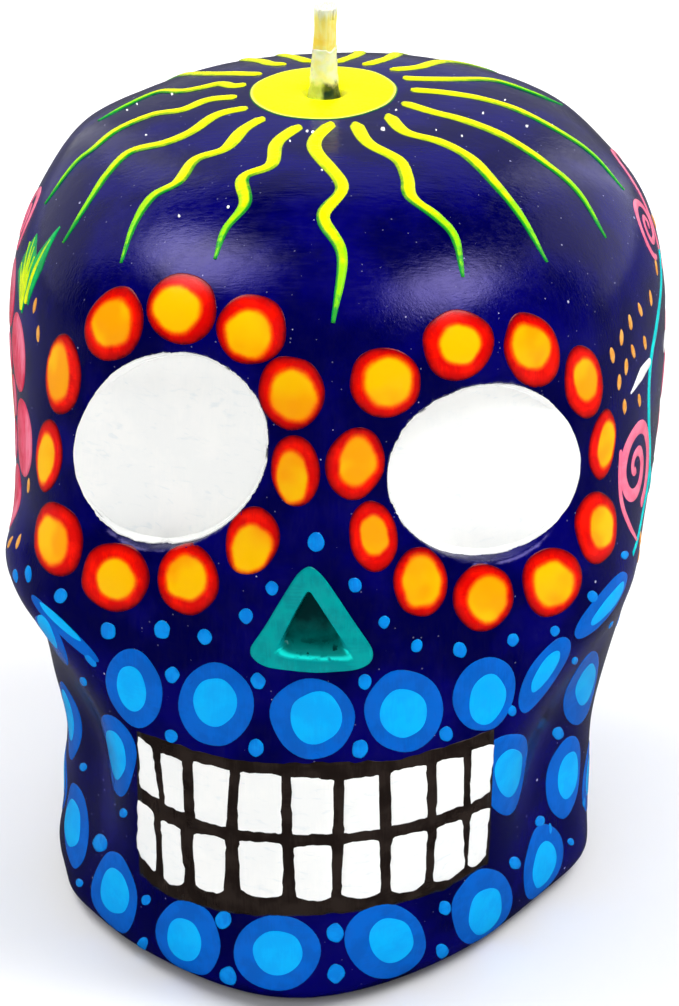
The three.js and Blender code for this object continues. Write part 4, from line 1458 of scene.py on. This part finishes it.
flecks = {
    # x, y and size in pixels
    "pixels": (
        (313, 132, 4), (307, 131, 3), (286, 139, 3), (290, 141, 2.4), (322, 170, 2.4), (383, 129, 5),
        (396, 110, 2.4), (483, 113, 2.6), (530, 117, 2.4), (527, 126, 3), (505, 100, 2.2), (552, 125, 2),
        (172, 94, 3), (137, 104, 2.4), (127, 110, 2.4), (146, 135, 2), (228, 207, 3.4), (179, 216, 3),
        (462, 136, 2.4), (436, 130, 2),
    ),
    "rise": 0.1 * mm,
    "wobble": 0.2,
}


def makeFlecks():
    places = []
    for number, (x, y, size) in enumerate(flecks["pixels"]):
        spot = pixelSpot(x, y, size, size * 0.8, 37 * number)
        places.append(beadPlace(spot, number + 400, flecks["wobble"]))
    layPaint("whiteFlecks", whitePaint, smallBead, places, flecks["rise"])


makeFlecks()
print("sides are painted")


# Wick: waxed cotton braid with a frayed tip, its hardened wax and its tab

wick = {
    "segments": 40,
    "passageRadius": 1.4 * mm,
    "radius": 1.6 * mm,
    "swellFrom": 110 * mm,  # above the passage the wick is wider
    "swellOver": 4 * mm,
    "rootLevel": 112 * mm,
    "tipLevel": 125.2 * mm,
    "strands": 4,
    "pitch": 5.2 * mm,
    "relief": 0.05 * mm,
    "streaks": 0.035 * mm,
    "flare": 0.05 * mm,
    "flareFrom": 121.5 * mm,
    "flareOver": 4 * mm,
    "fibres": 130,
    "fibreRadius": 0.11 * mm,
    "fibreLength": (1.6 * mm, 2.4 * mm),
    "fibreRoot": 1.6 * mm,  # below the tip
    "splay": 0.1,
}


def wickLean():  # how far the wick's tip leans from its foot
    points = [vert.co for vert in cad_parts["wick"].data.vertices]
    points = [point for point in points if point.z > wick["rootLevel"] + 10 * mm]
    middle = sum(points, Vector()) / len(points)
    return middle.xy - wickFoot.xy


wickTipLean = wickLean()


def wickShare(level):  # 0 at the root, 1 at the tip
    return (level - wick["rootLevel"]) / (wick["tipLevel"] - wick["rootLevel"])


def wickAxis(level):
    lean = wickTipLean * clamped(wickShare(level)) ** 1.3
    return Vector((wickFoot.x + lean.x, wickFoot.y + lean.y, level))


def makeBraid():
    bm, layers = tagged("along")
    foot, root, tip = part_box("wick")[0].z, wick["rootLevel"], wick["tipLevel"]
    levels = [foot + (root - foot) * k / 24 for k in range(24)]
    levels += [root + (tip - root) * k / 64 for k in range(65)]
    ring = bmesh.ops.create_circle(bm, cap_ends=True, segments=wick["segments"], radius=1)["verts"]
    edges = list(bm.edges)
    for number, level in enumerate(levels):
        if number:
            edges, ring = growRing(bm, edges, ring)
        share = clamped((level - wick["swellFrom"]) / wick["swellOver"])
        radius = wick["passageRadius"] + (wick["radius"] - wick["passageRadius"]) * share
        flare = max(0, (level - wick["flareFrom"]) / wick["flareOver"]) ** 2 * wick["flare"]
        climb = 2 * math.pi * level / wick["pitch"]
        for k, vert in enumerate(ring):
            turn = 2 * math.pi * k / wick["segments"]
            braid = max(math.cos(wick["strands"] * turn + climb), math.cos(wick["strands"] * turn - climb))
            streak = ripple(math.cos(turn) * 3, math.sin(turn) * 3, level * 160)
            reach = radius + flare + (braid - 0.6) * wick["relief"] + streak * wick["streaks"]
            vert.co = wickAxis(level) + Vector((math.cos(turn), math.sin(turn), 0)) * reach
            vert[layers["along"]] = share and wickShare(level)
    bmesh.ops.contextual_create(bm, geom=edges)
    bmesh.ops.recalc_face_normals(bm, faces=bm.faces)
    addFibres(bm, layers["along"])
    return bm


def addFibres(bm, along):  # cut ends that fray and lean outward
    chance = random.Random(3)
    start = wick["tipLevel"] - wick["fibreRoot"]
    shortest, longest = wick["fibreLength"]
    for _ in range(wick["fibres"]):
        turn = chance.uniform(0, 2 * math.pi)
        reach = wick["radius"] * math.sqrt(chance.uniform(0.02, 1))
        length = chance.uniform(shortest, longest - 0.55 * mm * (reach / wick["radius"]) ** 3)
        splay = chance.uniform(-0.05, wick["splay"]) * reach / wick["radius"]
        curl = chance.uniform(-0.12, 0.12)
        out = Vector((math.cos(turn), math.sin(turn), 0))
        side = Vector((-math.sin(turn), math.cos(turn), 0))
        ring = bmesh.ops.create_circle(bm, cap_ends=True, segments=5, radius=wick["fibreRadius"])["verts"]
        edges = list({edge for vert in ring for edge in vert.link_edges})
        shape = [vert.co.copy() for vert in ring]
        for row in range(6):
            share = row / 5
            if row:
                edges, ring = growRing(bm, edges, ring)
            rise = start + length * share
            middle = wickAxis(rise) + out * (reach + splay * length * share ** 2 * 2)
            middle += side * curl * length * share ** 2
            middle.z = rise
            for corner, vert in zip(shape, ring):
                vert.co = middle + corner * (1 - 0.45 * share)
                vert[along] = 0.9 + 0.1 * share
        bmesh.ops.contextual_create(bm, geom=edges)


def makeCotton():
    cotton = Finish("waxedCotton", {
        "Specular IOR Level": 0.35,
        "Subsurface Weight": 0.25,
        "Subsurface Scale": 1.2 * mm,
    })
    along = cotton.tag("along")
    thread = cotton.grain(2600, 4, (1, 1, 0.12))
    straw = cotton.mix(cotton.fade(thread, 0.36, 0.64), ink(255, 232, 116), ink(255, 241, 158))
    soaked = cotton.mix(cotton.fade(cotton.grain(420), 0.4, 0.6), straw, ink(255, 220, 88))
    cotton.colour = cotton.mix(cotton.fade(along, 0.75, 0.95), soaked, straw)
    dry = cotton.fade(cotton.plus(along, thread, 0.12), 0.94, 1.06)
    cotton.over(dry, ink(255, 251, 236))
    cotton.give({"Roughness": cotton.fade(along, 0.3, 0.9, 0.42, 0.85)})
    cotton.emboss(thread, 0.05 * mm)
    return cotton.done()


sleeve = {
    # radius and level of the outside, from the pit up
    "outside": (
        (2.1, 111.6), (2.3, 111.75), (2.32, 112.2), (2.2, 112.8), (2.04, 113.4), (1.97, 114.1),
        (1.92, 114.9), (1.88, 115.8), (1.84, 116.7), (1.8, 117.5), (1.75, 118.2), (1.68, 118.9),
        (1.58, 119.3),
    ),
    "inside": ((1.46, 118.8), (1.46, 116.6), (1.46, 114.2), (1.46, 111.7)),
    "steps": 56,
    "lumps": 0.15 * mm,
    "shadeSide": 0.25 * mm,  # right of this the foot is darkened as painted shade, left of it yellow green
    "shadeWidth": 0.7 * mm,
    "smoothInside": 1.55 * mm,  # within this radius there are no lumps
}


def makeSleeve():
    bm, layers = tagged("along")
    spun(bm, sleeve["outside"] + sleeve["inside"], sleeve["steps"], mm, closed=True)
    bmesh.ops.subdivide_edges(bm, edges=bm.edges[:], cuts=1, use_grid_fill=True, smooth=0.6)
    low, high = sleeve["outside"][0][1] * mm, sleeve["outside"][-1][1] * mm
    for vert in bm.verts:
        share = (vert.co.z - low) / (high - low)
        out = Vector((vert.co.x, vert.co.y, 0))
        if out.length > sleeve["smoothInside"]:
            lump = noise.noise(vert.co * 700) + 0.5 * noise.noise(vert.co * 1700)
            top = ripple(vert.co.x * 900, vert.co.y * 900, 7) * max(0, share - 0.7) * 3 * mm
            vert.co += out.normalized() * lump * sleeve["lumps"]
            vert.co.z += top
        vert[layers["along"]] = share
        axis = wickAxis(vert.co.z)
        vert.co += Vector((axis.x, axis.y, 0))
    bmesh.ops.recalc_face_normals(bm, faces=bm.faces)
    return bm


def makeFrostyWax():
    wax = Finish("frostyWax", {
        "Coat Weight": 0.6,
        "Coat Roughness": 0.12,
        "Subsurface Weight": 0.3,
        "Subsurface Scale": 1.2 * mm,
    })
    cloud = wax.grain(900, 4)
    wax.colour = wax.mix(wax.fade(cloud, 0.38, 0.66), ink(255, 251, 222), ink(252, 243, 176))
    # painted shade: where the foot sits in the pit it goes dark on its right side; on its left it is yellow
    # green
    low = wax.fade(wax.plus(wax.tag("along"), cloud, 0.3), 0.44, 0.62, 1, 0)
    middle = wickFoot.x + sleeve["shadeSide"]
    side = wax.fade(wax.plus(wax.axis("X"), cloud, 1.2 * mm), middle, middle + sleeve["shadeWidth"])
    wax.over(low, wax.mix(side, ink(196, 210, 92), ink(30, 58, 40)))
    wax.give({"Roughness": wax.fade(cloud, 0.35, 0.7, 0.2, 0.42)})
    wax.emboss(cloud, 0.05 * mm)
    return wax.done()


tab = {
    "steps": 72,
    # radius and level of the pressed sheet, from the neck's mouth down, out and back
    "profile": (
        (1.72, 7.8), (2.1, 7.8), (2.12, 7.4), (2.1, 4.0), (2.14, 1.7), (2.4, 1.15), (3.0, 0.92),
        (5.6, 0.86), (6.4, 0.95), (6.9, 0.92), (7.3, 0.84), (7.5, 0.6), (7.42, 0.36), (7.1, 0.3),
        (6.6, 0.34), (6.2, 0.44), (5.6, 0.36), (3.0, 0.38), (2.2, 0.5), (1.72, 1.0), (1.7, 4.0),
    ),
    "crimps": 3,
    "crimpDepth": 0.08,
    "crimpLevels": (3.2, 6.6),
}


def makeTab():
    bm = bmesh.new()
    spun(bm, tab["profile"], tab["steps"], mm, closed=True)
    low, high = tab["crimpLevels"]
    for vert in bm.verts:
        level = vert.co.z / mm
        if low < level < high:
            turn = math.atan2(vert.co.y, vert.co.x)
            pinch = 1 - tab["crimpDepth"] * max(0, math.cos(tab["crimps"] * turn)) ** 2
            vert.co.x *= pinch
            vert.co.y *= pinch
    bmesh.ops.translate(bm, vec=wickFoot, verts=bm.verts)
    bmesh.ops.recalc_face_normals(bm, faces=bm.faces)
    return bm


def makeTin():
    tin = Finish("tinnedSteel", {"Metallic": 1.0})
    brushed = tin.grain(900, 4, (1, 0.05, 1))
    tin.colour = tin.mix(tin.fade(tin.grain(240, 4), 0.4, 0.62), ink(196, 198, 200), ink(160, 160, 160))
    tin.give({"Roughness": tin.fade(brushed, 0.3, 0.7, 0.24, 0.46)})
    tin.emboss(brushed, 0.02 * mm)
    return tin.done()


finishPiece(makeBraid(), "wickBraid", makeCotton(), ["wick"])
finishPiece(makeSleeve(), "wickWax", makeFrostyWax(), ["wick_wax_sleeve"])
finishPiece(makeTab(), "wickTab", makeTin(), ["wick_tab"])
print("wick is made")


# Stage

stage = {
    "floorReach": 3.0,
    "floor": ink(250, 250, 250),
    "world": 0.36,
    # azimuth and elevation as seen from the candle, distance, width and height, and watts
    "lamps": {
        "leftBox": (-104, 57, 0.75, 0.62, 0.62, 6.4),
        "rightBox": (80, 53, 0.75, 0.6, 0.6, 8.1),
        "frontBox": (-8, 30, 1.4, 1.1, 1.1, 4.3),
        "topBox": (0, 90, 1.4, 1.0, 1.0, 3.0),
        "backdropLeft": (-136, 14, 1.4, 1.2, 1.4, 2.6),
        "backdrop": (180, 18, 1.4, 1.5, 1.4, 2.2),
        "backdropRight": (136, 14, 1.4, 1.2, 1.4, 4.4),
    },
    "softEdged": ("leftBox", "rightBox"),
    "unreflected": ("frontBox", "topBox"),  # fills only
}


def makeFloorFinish():
    floor = Finish("paleFloor", {"Roughness": 0.8, "Specular IOR Level": 0.1, "Emission Color": (1, 1, 1, 1)})
    floor.colour = floor.mix(floor.grain(40), stage["floor"], ink(246, 246, 247))
    rays = floor.add("LightPath").outputs
    behind = floor.fade(floor.axis("Y"), -60 * mm, 60 * mm, 1, 0.85)
    floor.over(floor.times(rays["Is Glossy Ray"], behind), (0, 0, 0, 1))  # the wax hardly mirrors the floor
    # far from the candle the floor goes over into the plain background
    far = floor.add("VectorMath", {0: floor.place}, operation="LENGTH").outputs["Value"]
    floor.give({"Emission Strength": floor.times(rays["Is Camera Ray"], floor.fade(far, 0.16, 0.7))})
    return floor.done()


def softenLamp(data):  # dims a lamp toward its edges
    data.use_nodes = True
    nodes = Nodes(data.node_tree)
    place = nodes.add("NewGeometry").outputs["Parametric"]
    away = nodes.add("VectorMath", {0: place, 1: (0.5, 0.5, 0)}, operation="SUBTRACT").outputs[0]
    flat = nodes.add("VectorMath", {0: away, 1: (1, 1, 0)}, operation="MULTIPLY").outputs[0]
    far = nodes.add("VectorMath", {0: flat}, operation="LENGTH").outputs["Value"]
    nodes.feed(nodes.tree.nodes["Emission"].inputs["Strength"], nodes.fade(far, 0.1, 0.5, 1.5, 0.0))


def makeFloor():
    bm = bmesh.new()
    bmesh.ops.create_circle(bm, cap_ends=True, segments=96, radius=stage["floorReach"])
    floor = linked("studioFloor", asMesh(bm, "studioFloor"))
    floor.data.materials.append(makeFloorFinish())


def makeWorld():
    world = bpy.data.worlds.new("studioLight")
    scene.world = world
    world.use_nodes = True
    world.cycles_visibility.glossy = False
    nodes = Nodes(world.node_tree)
    light = world.node_tree.nodes["Background"].inputs
    nodes.feed(light["Color"], (1, 1, 1, 1))
    seen = nodes.add("LightPath").outputs["Is Camera Ray"]
    nodes.feed(light["Strength"], nodes.fade(seen, 0, 1, stage["world"], 1.0))


def makeLamps():
    middle = Vector((0, 0, 60 * mm))
    for name, (azimuth, elevation, distance, width, height, watts) in stage["lamps"].items():
        data = bpy.data.lights.new(name, "AREA")
        data.shape = "RECTANGLE"
        data.energy = watts
        data.size = width
        data.size_y = height
        if name in stage["softEdged"]:
            softenLamp(data)
        out = outward(azimuth, elevation)
        turn = out.to_track_quat("Z", "Y").to_matrix().to_4x4()
        lamp = linked(name, data)
        lamp.matrix_world = Matrix.Translation(middle + out * distance) @ turn
        lamp.visible_camera = False
        lamp.visible_glossy = name not in stage["unreflected"]


makeFloor()
makeWorld()
makeLamps()
print("stage is set")
